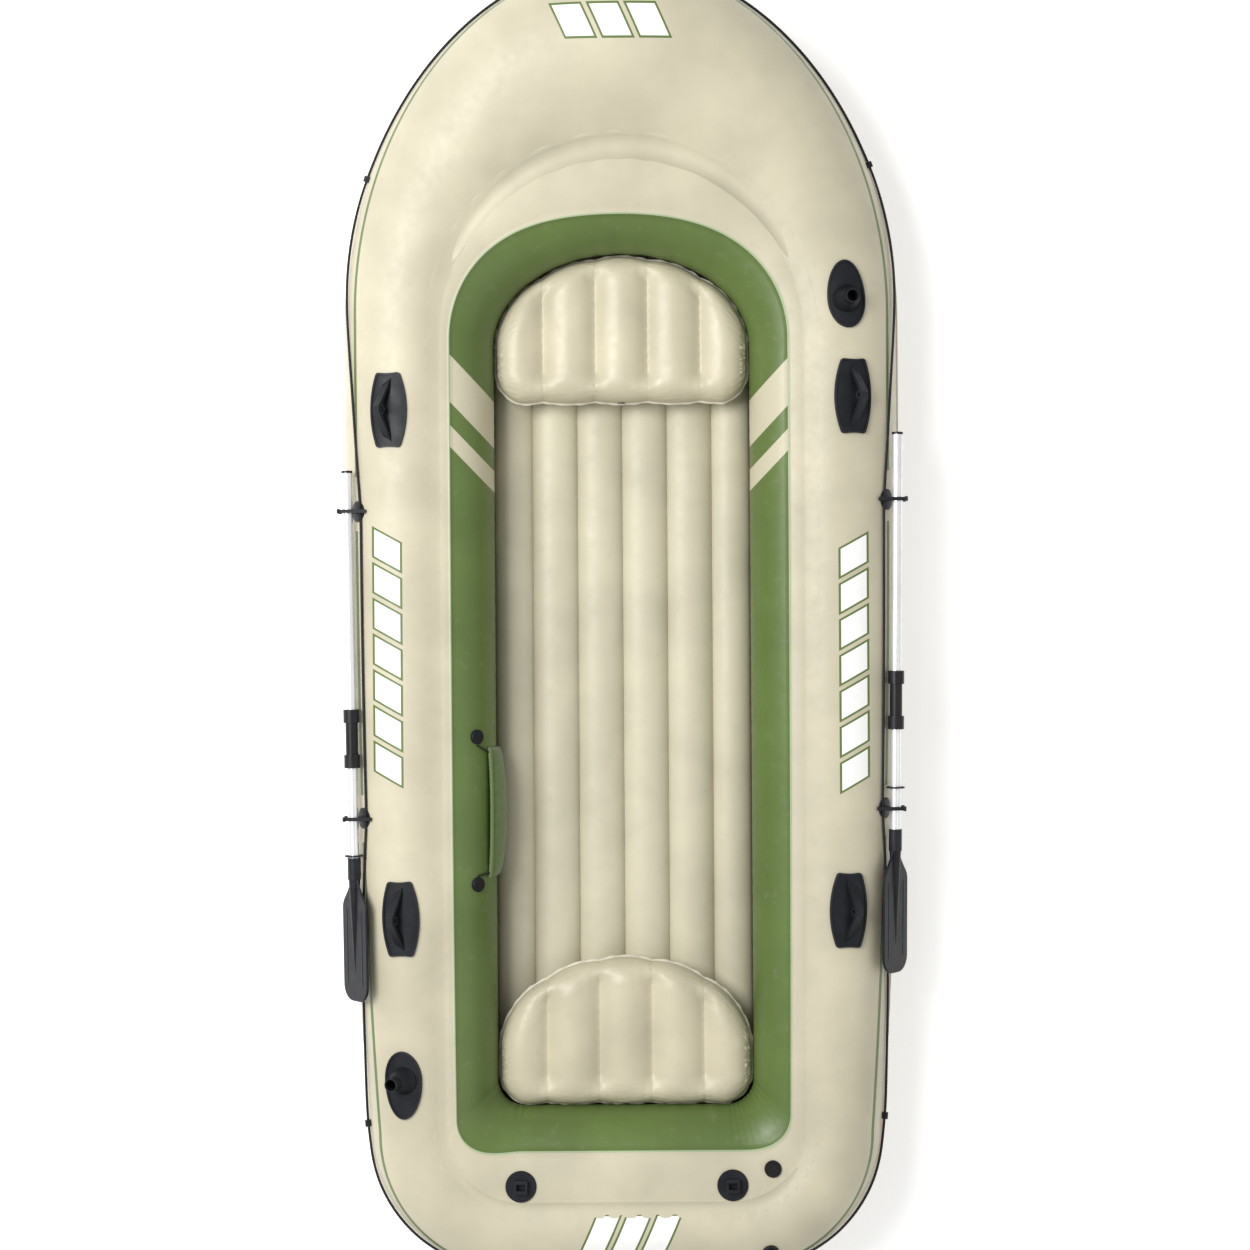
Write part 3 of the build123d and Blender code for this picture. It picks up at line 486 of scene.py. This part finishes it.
# ---------------------------------------------------------------- floor
# The floor is an air mattress: six long lobes between welded tapes, tucked
# in under the inner tube, over a plain sheet that closes the hull.
LOBE = 120
SEAM_HEIGHT = 54
CREST_HEIGHT = 86
FLOOR_UNDERSIDE = 2.0
SEAM_WELD = 1.6
FLOOR_END_ROUND = 72
FLOOR_HALF = 346
FLOOR_TUCK = 24
FLOOR_ROUND = 267
FLOOR_CORNER = 94
COCKPIT_TIP, COCKPIT_STERN = COCKPIT[3:5]


def d_reach(x, half, back, tip, round_length, corner):
    """The y at which a D-shaped outline starts and ends at this x."""
    x = min(abs(x), half)
    front = tip - round_length + round_length * sqrt(max(0.0, 1 - (x / half) ** 2))
    past = max(0.0, x - (half - corner))
    return back + corner - sqrt(max(0.0, corner**2 - past**2)), front


def panel_piece(name, columns, count, height, underside, reach, materials, paint):
    """A closed pad on a grid: columns run fore and aft, count rows each."""
    points, faces, slots = [], [], []
    for level in (height, underside):
        for x in columns:
            low, high = reach(x)
            for j in range(count + 1):
                share = 0.5 - 0.5 * cos(pi * j / count)
                share = 0.6 * j / count + 0.4 * share
                y = low + (high - low) * share
                points.append(Vector((x, y, level(x, y))) / 1000)
    wide = len(columns)
    layer = wide * (count + 1)
    for i in range(wide - 1):
        for j in range(count):
            a = i * (count + 1) + j
            b = a + count + 1
            faces.append((a, b, b + 1, a + 1))
            slots.append(paint(columns[i], columns[i + 1], points[a]))
            faces.append((a + layer, a + 1 + layer, b + 1 + layer, b + layer))
            slots.append(0)
    rim = [(i * (count + 1), (i + 1) * (count + 1)) for i in range(wide - 1)]
    rim += [((wide - 1) * (count + 1) + j, (wide - 1) * (count + 1) + j + 1) for j in range(count)]
    rim += [(i * (count + 1) + count, (i - 1) * (count + 1) + count) for i in range(wide - 1, 0, -1)]
    rim += [(j + 1, j) for j in range(count - 1, -1, -1)]
    for a, b in rim:
        faces.append((a, a + layer, b + layer, b))
        slots.append(0)
    piece = new_piece(name, points, faces, materials)
    piece.data.polygons.foreach_set("material_index", slots)
    tidy_normals(piece)
    return piece


def floor_reach(x):
    back, tip = COCKPIT_STERN - FLOOR_TUCK, COCKPIT_TIP + FLOOR_TUCK
    return d_reach(x, FLOOR_HALF, back, tip, FLOOR_ROUND, FLOOR_CORNER)


def floor_height(x, y):
    low, high = floor_reach(x)
    lobe = min(max(int((x + 3 * LOBE) // LOBE), 0), 5)
    left, right = max((lobe - 3) * LOBE, -FLOOR_HALF), min((lobe - 2) * LOBE, FLOOR_HALF)
    off = abs(2 * (x - left) / (right - left) - 1)
    near_seam = (1 - off) * LOBE / 2
    end = min(y - low, high - y, FLOOR_END_ROUND) / FLOOR_END_ROUND
    end = sqrt(max(0.0, 1 - (1 - min(end, 1)) ** 2))
    pucker = 0.9 * exp(-near_seam / 9) * ripple(x, y, 31, lobe)
    pucker *= 0.25 + exp(-min(y - low, high - y) / 160)
    arch = sqrt(max(0.0, 1 - off**2)) * 0.75 + (1 - off**2) * 0.25
    top = SEAM_HEIGHT + (CREST_HEIGHT - SEAM_HEIGHT) * arch
    return FLOOR_UNDERSIDE + (top - FLOOR_UNDERSIDE) * (0.45 + 0.55 * end) + pucker * end


def lobe_columns(edges, steps, weld):
    """Columns across lobes, with a narrow one each side of every weld."""
    columns = [edges[0]]
    for left, right in zip(edges, edges[1:]):
        a, b = left + (weld if left != edges[0] else 0), right - (weld if right != edges[-1] else 0)
        start = [a] if left != edges[0] else []
        columns += start + [a + (b - a) * i / steps for i in range(1, steps)] + [b]
        columns += [right] if right != edges[-1] else []
    return columns


floor_edges = [-FLOOR_HALF, *(LOBE * i for i in range(-2, 3)), FLOOR_HALF]
floor_columns = lobe_columns(floor_edges, 18, SEAM_WELD)


def floor_paint(left, right, point):
    middle = (left + right) / 2
    return 1 if any(abs(middle - seam) < SEAM_WELD for seam in floor_edges[1:-1]) else 0


floor_sheet = pvc("floor_sheet", (0.54, 0.505, 0.375), 0.45)
air_floor = panel_piece("air_floor", floor_columns, 300, floor_height, lambda x, y: FLOOR_UNDERSIDE,
                        floor_reach, (floor_sheet, pale_weld), floor_paint)
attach(air_floor, "hull")
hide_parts("inflatable_floor")
nodes["bottom_sheet"].data.materials.clear()
nodes["bottom_sheet"].data.materials.append(floor_sheet)

# ---------------------------------------------------------------- cushions
# Two D-shaped seat cushions of the same sheet, blown up hard. Four welded
# tapes inside hold top to bottom; a flat weld runs round the edge.
CUSHION_HALF = 332
CUSHION_DEPTH = 381
CUSHION_LOW = 86.6
CUSHION_TALL = 122
CUSHION_LOBE = 138
TAPE_END = 36.8
CUSHION_ROUND = 64
ARC_LENGTH = 238
CUSHION_CORNER = 78
OUTER_LOBE = 270              # past this the edge only curves in


def scallop(x):
    """The edge is drawn in at each tape and bulges between them."""
    past = abs(x) - OUTER_LOBE
    if past >= 0:
        return 3 - 5 * past / (CUSHION_HALF - OUTER_LOBE)
    return 7 * abs(sin(pi * (x + CUSHION_LOBE / 2) / CUSHION_LOBE)) ** 0.7 - 4


def cushion_reach(back):
    def reach(x):
        low, high = d_reach(x, CUSHION_HALF, back, back + CUSHION_DEPTH, ARC_LENGTH, CUSHION_CORNER)
        return low - scallop(x), high + scallop(x)
    return reach


def edge_points(back, count):
    """The cushion's outline in plan, with this many points along its arc."""
    tip, corner = back + CUSHION_DEPTH, CUSHION_CORNER
    line = []
    for i in range(count):
        turn = pi * i / (count - 1)
        x = CUSHION_HALF * cos(turn)
        line.append((x, tip - ARC_LENGTH + ARC_LENGTH * sin(turn) + scallop(x)))
    flat = CUSHION_HALF - corner
    for i in range(24):
        turn = radians(180 + 90 * i / 24)
        x = -flat + corner * cos(turn)
        line.append((x, back + corner + corner * sin(turn) - scallop(x)))
    line += [(x, back - scallop(x)) for x in range(-flat, flat, 8)]
    for i in range(24):
        turn = radians(270 + 90 * i / 24)
        x = flat + corner * cos(turn)
        line.append((x, back + corner + corner * sin(turn) - scallop(x)))
    return line


def inset_from(line, x, y):
    """Distance from a point to the outline."""
    best = 1e9
    for (ax, ay), (bx, by) in zip(line, line[1:] + line[:1]):
        dx, dy = bx - ax, by - ay
        run = max(dx * dx + dy * dy, 1e-9)
        share = min(max(((x - ax) * dx + (y - ay) * dy) / run, 0), 1)
        best = min(best, (x - ax - share * dx) ** 2 + (y - ay - share * dy) ** 2)
    return sqrt(best)


def make_cushion(name, back):
    reach = cushion_reach(back)
    tapes = [CUSHION_LOBE * i / 2 for i in (-3, -1, 1, 3)]
    edges = [-CUSHION_HALF, *tapes, CUSHION_HALF]
    columns = lobe_columns(edges, 16, 1.5)
    first = [-CUSHION_HALF + 4 * i for i in range(1, 5)]
    columns = sorted(set(columns) | set(first) | {-x for x in first})
    rim = edge_points(back, 90)
    middle = CUSHION_LOW + CUSHION_TALL / 2
    known = {}

    def swell(x, y):
        key = (round(x, 2), round(y, 2))
        if key not in known:
            inset = inset_from(rim, x, y)
            crown = sqrt(max(0.0, 1 - (1 - min(inset / CUSHION_ROUND, 1)) ** 2))
            low, high = reach(x)
            end = min(y - low, high - y)
            hold = min(max((y - low - 16) / 62, 0), 1) * min(max((high - y - 8) / 50, 0), 1)
            hold = hold * hold * (3 - 2 * hold)
            nearest = min(abs(x - tape) for tape in tapes)
            dip = max(0.0, 1 - (sqrt(nearest**2 + 20) - 1.5) / (CUSHION_LOBE / 2))
            pull = (18 * (1 - sqrt(1 - dip**2)) + 18 * dip**2) * hold
            fan = exp(-((end - TAPE_END) / 24) ** 2) * exp(-nearest / 26)
            pucker = 1.8 * fan * sin(nearest / 4.2)
            pucker += 1.7 * exp(-inset / 24) * ripple(x, y, 34, back / 100) * min(inset / 8, 1)
            pucker += 0.3 * hold * exp(-nearest / 10) * sin(2 * pi * y / 27 + x)
            slack = 1.5 * noise.noise(Vector((x / 90, y / 90, back)))
            known[key] = crown * (CUSHION_TALL / 2 - pull + slack) + pucker
        return known[key]

    def over(x, y):
        return middle + swell(x, y) + 1.0

    def under(x, y):
        return middle - min(swell(x, y), CUSHION_TALL / 2 - 0.6) * 0.97 - 1.0

    pad = panel_piece(name + "_seat_pad", columns, 110, over, under, reach, (cushion_sheet,), plain_paint)
    flange = cushion_flange(name + "_edge_weld", edge_points(back, 200), middle)
    for piece in (pad, flange):
        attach(piece, name)
    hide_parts(name)


def cushion_flange(name, line, middle):
    """The flat welded edge: it waves where the pad's edge is drawn in."""
    points, faces = [], []
    count = len(line)
    way = 0.0
    for i, (x, y) in enumerate(line):
        (ax, ay), (bx, by) = line[i - 1], line[(i + 1) % count]
        run = hypot(bx - ax, by - ay)
        out = ((by - ay) / run, (ax - bx) / run)
        way += run / 2
        wave = sin(2 * pi * way / 47) + 0.5 * sin(2 * pi * way / 29 + 1)
        width, lift = 5.2 + 0.9 * wave, 1.3 * sin(2 * pi * way / 47 + 0.8)
        for reach, rise in ((-6, 0.5), (width, 0.5), (width, -0.5), (-6, -0.5)):
            lifted = middle + rise + (lift if reach > 0 else 0)
            points.append(Vector((x + out[0] * reach, y + out[1] * reach, lifted)) / 1000)
    for i in range(count):
        for j in range(4):
            a, b = 4 * i, 4 * ((i + 1) % count)
            faces.append((a + j, b + j, b + (j + 1) % 4, a + (j + 1) % 4))
    piece = new_piece(name, points, faces, (pale_weld,))
    tidy_normals(piece)
    return piece


cushion_sheet = pvc("cushion_sheet", (0.54, 0.495, 0.36), 0.38)
make_cushion("front_cushion", 599)
make_cushion("rear_cushion", -1254)

# ---------------------------------------------------------------- grab line
# Seven millimetre black three-strand line. It starts and ends in one knot at
# the stern, and runs through the moulded eyes and the oar clips' pads.
ROPE_RADIUS = 3.5
EYES = {"starboard": (1205, -1283), "port": (1177, -1294)}
CLIPS = {"starboard": (330, -470), "port": (307, -488)}
ROPE_RUN = 0.105
KNOT_STAND_OFF = 0.0106
ROPE_GAP = 1.7
ROPE_SLACK = 3.8
ROPE_STERN_SLACK = 3.5


def rope_clear(t):
    """How far the line's middle stands off the tube; its runs are chords."""
    beyond_side = max(1.1 - t, t - 1.9, 0)
    clear = ROPE_RADIUS + ROPE_GAP + ROPE_SLACK * min(1, 10 * beyond_side)
    return clear + ROPE_STERN_SLACK if 2.15 < t < 3.7 else clear


def station_at(y, share):
    """The station at which a line at this share of the outer tube is at y."""
    low, high = 0.0, 3.0
    for _ in range(40):
        t = (low + high) / 2
        _, lean, _ = outer_shape(t)
        low, high = (t, high) if outer_skin(t, acos(share * (1 + lean) - lean)).y > y / 1000 else (low, t)
    return low


def rope_side(side):
    front_eye, rear_eye = (station_at(y, 0.985) for y in EYES[side])
    front_clip, rear_clip = (station_at(y, 0.86) for y in CLIPS[side])
    marks = [(0, 3), (front_eye, 5), (front_clip, 46), (rear_clip, 46), (rear_eye, 12), (2.6, 34), (4, 26)]
    route = []
    for (start, low), (end, high) in zip(marks, marks[1:]):
        run = (outer_skin(end, radians(high)) - outer_skin(start, radians(low))).length
        count = max(1, round(run / ROPE_RUN))
        for i in range(count):
            t = start + (end - start) * i / count
            route.append(outer_skin(t, radians(low + (high - low) * i / count), rope_clear(t)))
    route.append(outer_skin(4, radians(26), 10.3))
    return route


def rope_route():
    """Starboard knot end, round by the bow, to the port knot end."""
    far = [Vector((-p.x, p.y, p.z)) for p in rope_side("port")]
    route = rope_side("starboard")[::-1] + far[1:]
    route[0].x += KNOT_STAND_OFF
    route[-1].x -= KNOT_STAND_OFF
    return route


def smooth_line(name, route):
    """The cord's line: one NURBS spline with the route for control points."""
    curve = bpy.data.curves.new(name, "CURVE")
    curve.dimensions = "3D"
    spline = curve.splines.new("NURBS")
    spline.points.add(len(route) - 1)
    for point, place in zip(spline.points, route):
        point.co = (*place, 1)
    spline.order_u = 3
    spline.use_endpoint_u = True
    spline.resolution_u = 12
    line = bpy.data.objects.new(name, curve)
    bpy.context.scene.collection.objects.link(line)
    bpy.context.view_layer.update()
    drawn = bpy.data.meshes.new_from_object(line.evaluated_get(bpy.context.evaluated_depsgraph_get()))
    points = [v.co.copy() for v in drawn.vertices]
    bpy.data.meshes.remove(drawn)
    bpy.data.objects.remove(line)
    return points


def even_steps(points, step):
    """The same line at even steps along its length."""
    places, left = [points[0]], step
    for a, b in zip(points, points[1:]):
        run = (b - a).length
        while run and left <= run:
            places.append(a + (b - a) * (left / run))
            left += step
        left -= run
    if (points[-1] - places[-1]).length > step / 4:
        places.append(points[-1])
    return places


def laid_rope(name, points, radius, material, strands=3, pitch=0.028, sides=12):
    """A rope with real strands: its section's lobes turn along the line."""
    up = Vector((0, 0, 1))
    vertices, faces = [], []
    way = 0.0
    for i, place in enumerate(points):
        ahead = points[min(i + 1, len(points) - 1)] - points[max(i - 1, 0)]
        ahead.normalize()
        side = ahead.cross(up).normalized()
        top = side.cross(ahead)
        way += (place - points[i - 1]).length if i else 0
        for j in range(sides):
            turn = 2 * pi * j / sides
            lobe = abs(cos(0.5 * strands * (turn - 2 * pi * way / pitch)))
            r = radius * (0.84 + 0.20 * lobe)
            vertices.append(place + (side * cos(turn) + top * sin(turn)) * r)
    for i in range(len(points) - 1):
        for j in range(sides):
            a, b = i * sides + j, i * sides + (j + 1) % sides
            faces.append((a, b, b + sides, a + sides))
    faces += [tuple(range(sides))[::-1], tuple(range(len(vertices) - sides, len(vertices)))]
    rope = new_piece(name, vertices, faces, (material,))
    tidy_normals(rope)
    return rope


def rope_fibre(name, colour):
    material, tree, shader, place = blank(name, 0.62, 0.0, 0.35)
    fuzz = grain(tree, place, 900.0, 2.0)
    worn = grain(tree, place, 12.0, 5.0)
    lit = tuple(c * 2.2 + 0.004 for c in colour)
    base = blend_colour(tree, ramp(tree, worn, 0.5, 0.75, 0, 0.6), colour, lit)
    link(tree, base, shader.inputs["Base Color"])
    shader.inputs["Sheen Weight"].default_value = 0.05
    raise_grain(tree, shader, fuzz, 0.0003, 0.8)
    return material


black_line = rope_fibre("black_line", (0.0045, 0.0045, 0.006))
rope_points = even_steps(smooth_line("grab_line_route", rope_route()), 0.0035)
grab_line = laid_rope("grab_line", rope_points, ROPE_RADIUS / 1000, black_line)
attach(grab_line, "hull")
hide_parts("grab_rope")

# The knot is an overhand turn: a short fat coil of the same line.
knot_low, knot_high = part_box("grab_rope_knot")
knot_middle = (Vector(knot_low) + Vector(knot_high)) / 2
knot_route = []
for i in range(61):
    turn = 2 * pi * i / 60
    knot_route.append(knot_middle + Vector((0.0058 * sin(turn) + 0.0024 * sin(2 * turn),
                                            0.0050 * cos(turn) - 0.0028 * cos(2 * turn) * 0.8,
                                            0.0036 * sin(3 * turn))))
knot = laid_rope("grab_line_knot", knot_route, 0.0034, black_line)
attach(knot, "hull")
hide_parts("grab_rope_knot")

# ---------------------------------------------------------------- rubber
# Rowlocks, rod holders, oar clips, rope eyes and motor sockets are moulded
# black rubber with a blue cast, dull, with a painted highlight along the edges.
RUBBER = (0.0060, 0.0070, 0.0095)


def moulded(name, colour, roughness, grain_size=420.0):
    material, tree, shader, place = blank(name, roughness, 0.0, 0.25)
    dust = grain(tree, place, 26.0, 6.0)
    pits = grain(tree, place, grain_size, 3.0)
    # Pointiness finds the convex edges, where a painted highlight lightens the colour.
    edge = tree.nodes.new("ShaderNodeNewGeometry").outputs["Pointiness"]
    # The paler colour is used for the dust patches and for the painted edge highlight.
    dust_and_highlight_colour = tuple(c * 2.0 + 0.007 for c in colour)
    base = blend_colour(tree, ramp(tree, dust, 0.45, 0.75, 0.0, 0.35), colour, dust_and_highlight_colour)
    base = blend_colour(tree, ramp(tree, edge, 0.51, 0.58, 0.0, 0.4), base, dust_and_highlight_colour)
    link(tree, base, shader.inputs["Base Color"])
    link(tree, ramp(tree, dust, 0.3, 0.7, roughness - 0.08, roughness + 0.1), shader.inputs["Roughness"])
    raise_grain(tree, shader, pits, 0.00018, 0.5)
    return material


black_rubber = moulded("black_rubber", RUBBER, 0.46)
black_plastic = moulded("black_plastic", (0.0065, 0.0065, 0.0075), 0.34, 260.0)


def dress(material, *names):
    for name in names:
        slots = nodes[name].data.materials
        slots.clear()
        slots.append(material)


fittings = [f"{side}_{name}" for side in ("port", "starboard")
            for name in ("front_rowlock", "rear_rowlock", "rod_holder", "front_oar_clip", "rear_oar_clip",
                         "front_rope_eye", "rear_rope_eye", "motor_socket")]
dress(black_rubber, *fittings, "pouch_front_button", "pouch_rear_button")
dress(black_plastic, "inner_valve", "inner_valve_cap", "outer_valve", "outer_valve_cap",
      "front_cushion_valve", "rear_cushion_valve")

# ---------------------------------------------------------------- oars
# Each oar is two drawn aluminium tubes joined by a black sleeve with two
# locking collars, and ends in a moulded blade. A rubber ring sheds drips.
def drawn_tube(name):
    material, tree, shader, place = blank(name, 0.30, 0.6)
    stretched = tree.nodes.new("ShaderNodeMapping")
    stretched.inputs["Scale"].default_value = (1.0, 0.02, 1.0)
    tree.links.new(place, stretched.inputs[0])
    lines = grain(tree, stretched.outputs[0], 1400.0, 3.0)
    clouds = grain(tree, place, 9.0, 4.0)
    base = blend_colour(tree, ramp(tree, clouds, 0.4, 0.7), (0.86, 0.87, 0.89), (0.78, 0.79, 0.81))
    link(tree, base, shader.inputs["Base Color"])
    link(tree, ramp(tree, lines, 0.3, 0.7, 0.24, 0.36), shader.inputs["Roughness"])
    raise_grain(tree, shader, lines, 0.00005, 0.35)
    return material


shaft_metal = drawn_tube("shaft_metal")
blade_plastic = moulded("blade_plastic", (0.0075, 0.008, 0.011), 0.36, 180.0)
for side in ("port", "starboard"):
    dress(shaft_metal, f"{side}_oar_upper_shaft", f"{side}_oar_lower_shaft")
    dress(black_plastic, f"{side}_oar_end_plug", f"{side}_oar_joint_sleeve", f"{side}_oar_upper_collar",
          f"{side}_oar_lower_collar")
    dress(black_rubber, f"{side}_oar_drip_ring")
    dress(blade_plastic, f"{side}_oar_blade")

# ---------------------------------------------------------------- pouch
# A pocket of green coated cloth hangs from two buttons on the port wall. Its
# mouth is a rolled hem on elastic, which gathers the cloth into folds.
POUCH_MIDDLE = -478
POUCH_LENGTH = 337
POUCH_TOP = 30
POUCH_FOOT = -22


def wall_place(y, degrees_up, proud):
    """A point off the port wall, over its bulge, in metres."""
    low, high = 0.0, 3.0
    for _ in range(30):
        t = (low + high) / 2
        low, high = (t, high) if inner_skin(t, 0.0).y > y / 1000 else (low, t)
    place = inner_skin(low, radians(degrees_up), proud)
    return Vector((-place.x, y / 1000, place.z))


def pouch_shape():
    across, down = 84, 34
    points, faces = [], []
    for i in range(across + 1):
        s = i / across
        y = POUCH_MIDDLE + POUCH_LENGTH * (s - 0.5)
        for j in range(down + 1):
            v = j / down
            up = POUCH_TOP + (POUCH_FOOT - POUCH_TOP) * v
            belly = sin(pi * min(v * 0.86 + 0.10, 1)) ** 0.8 * sin(pi * s) ** 0.45
            gather = 0.55 * sin(2 * pi * s * 9 + 1.2 * sin(5 * s)) + 0.45 * sin(2 * pi * s * 17)
            gather *= exp(-v * 2.6)
            sag = 0.8 * noise.noise(Vector((s * 6, v * 3, 4.0)))
            out = 2.6 + 26 * belly + 2.4 * gather * sin(pi * s) + 2.2 * sag
            points.append(wall_place(y, up, max(out, 2.4)))
    for i in range(across):
        for j in range(down):
            a = i * (down + 1) + j
            faces.append((a, a + 1, a + down + 2, a + down + 1))
    return points, faces


def coated_cloth(name, colour):
    material, tree, shader, place = blank(name, 0.55, 0.0, 0.35)
    cloud = grain(tree, place, 14.0, 4.0)
    darker = tuple(c * 0.8 for c in colour)
    link(tree, blend_colour(tree, cloud, darker, colour), shader.inputs["Base Color"])
    weave = []
    for turn in (0.0, pi / 2):
        wave = tree.nodes.new("ShaderNodeTexWave")
        turned = tree.nodes.new("ShaderNodeMapping")
        turned.inputs["Rotation"].default_value = (turn, 0.0, 0.0)
        tree.links.new(place, turned.inputs[0])
        tree.links.new(turned.outputs[0], wave.inputs[0])
        wave.bands_direction = "Y"
        wave.inputs["Scale"].default_value = 240.0
        weave.append(wave.outputs[1])
    shader.inputs["Sheen Weight"].default_value = 0.3
    fine = raise_grain(tree, shader, number(tree, "MULTIPLY", *weave), 0.0003, 0.6)
    raise_grain(tree, shader, grain(tree, place, 30.0, 4.0), 0.002, 0.4, fine)
    return material


pouch_cloth = coated_cloth("pouch_cloth", (0.115, 0.175, 0.05))
pouch_panel = new_piece("pouch_panel", *pouch_shape(), (pouch_cloth,))
wall = pouch_panel.modifiers.new("cloth thickness", "SOLIDIFY")
wall.thickness = 0.0012
wall.offset = 1.0
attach(pouch_panel, "pouch")
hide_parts("pouch")

hem_route = []
for i in range(85):
    s = i / 84
    belly = sin(pi * 0.10) ** 0.8 * sin(pi * s) ** 0.45
    hem_route.append(wall_place(POUCH_MIDDLE + POUCH_LENGTH * (s - 0.5), POUCH_TOP, 4.5 + 26 * belly))
hem = laid_rope("pouch_hem", even_steps(hem_route, 0.003), 0.0052, pouch_cloth, 2, 0.021, 14)
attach(hem, "pouch")
dress(black_line, "pouch_front_cord", "pouch_rear_cord")

# ---------------------------------------------------------------- studio
# A plain pale floor, a broad soft light from the bow's port side, a weak
# fill, and the camera straight above.
FLOOR_SIDE = 12


def studio_floor():
    material, tree, shader, place = blank("studio_floor", 0.9, 0.0, 0.1)
    base = blend_colour(tree, grain(tree, place, 0.6, 2.0), (0.93, 0.93, 0.93), (0.95, 0.95, 0.95))
    link(tree, base, shader.inputs["Base Color"])
    shader.inputs["Emission Color"].default_value = (1, 1, 1, 1)
    shader.inputs["Emission Strength"].default_value = 0.30
    corners = [(x * FLOOR_SIDE, y * FLOOR_SIDE, 0) for x, y in ((-1, -1), (1, -1), (1, 1), (-1, 1))]
    floor = new_piece("studio_floor", [Vector(c) for c in corners], [(0, 1, 2, 3)], (material,))


def soft_light(name, place, size, power):
    lamp = bpy.data.lights.new(name, "AREA")
    lamp.shape = "DISK"
    lamp.size = size
    lamp.energy = power
    light = bpy.data.objects.new(name, lamp)
    light.location = place
    light.rotation_euler = (-Vector(place)).to_track_quat("-Z", "Y").to_euler()
    bpy.context.scene.collection.objects.link(light)


studio_floor()
soft_light("window_light", (-3.0, 1.2, 5.0), 3.4, 325)
soft_light("fill_light", (4.5, -2.0, 4.0), 4.0, 30)
world = bpy.data.worlds.new("studio")
bpy.context.scene.world = world
world.use_nodes = True
world.node_tree.nodes["Background"].inputs["Color"].default_value = (1, 1, 1, 1)
world.node_tree.nodes["Background"].inputs["Strength"].default_value = 0.58
bpy.context.scene.view_settings.view_transform = "Standard"

FIELD_OF_VIEW = 31.6
camera_data = bpy.data.cameras.new("camera")
camera_data.sensor_width = 36
camera_data.lens = 18 / math.tan(radians(FIELD_OF_VIEW / 2))
camera_data.clip_end = 100
camera = bpy.data.objects.new("camera", camera_data)
camera.location = (0.005, 0.0085, 6.0)
camera.rotation_euler = (0, 0, radians(-0.39))
bpy.context.scene.collection.objects.link(camera)
bpy.context.scene.camera = camera
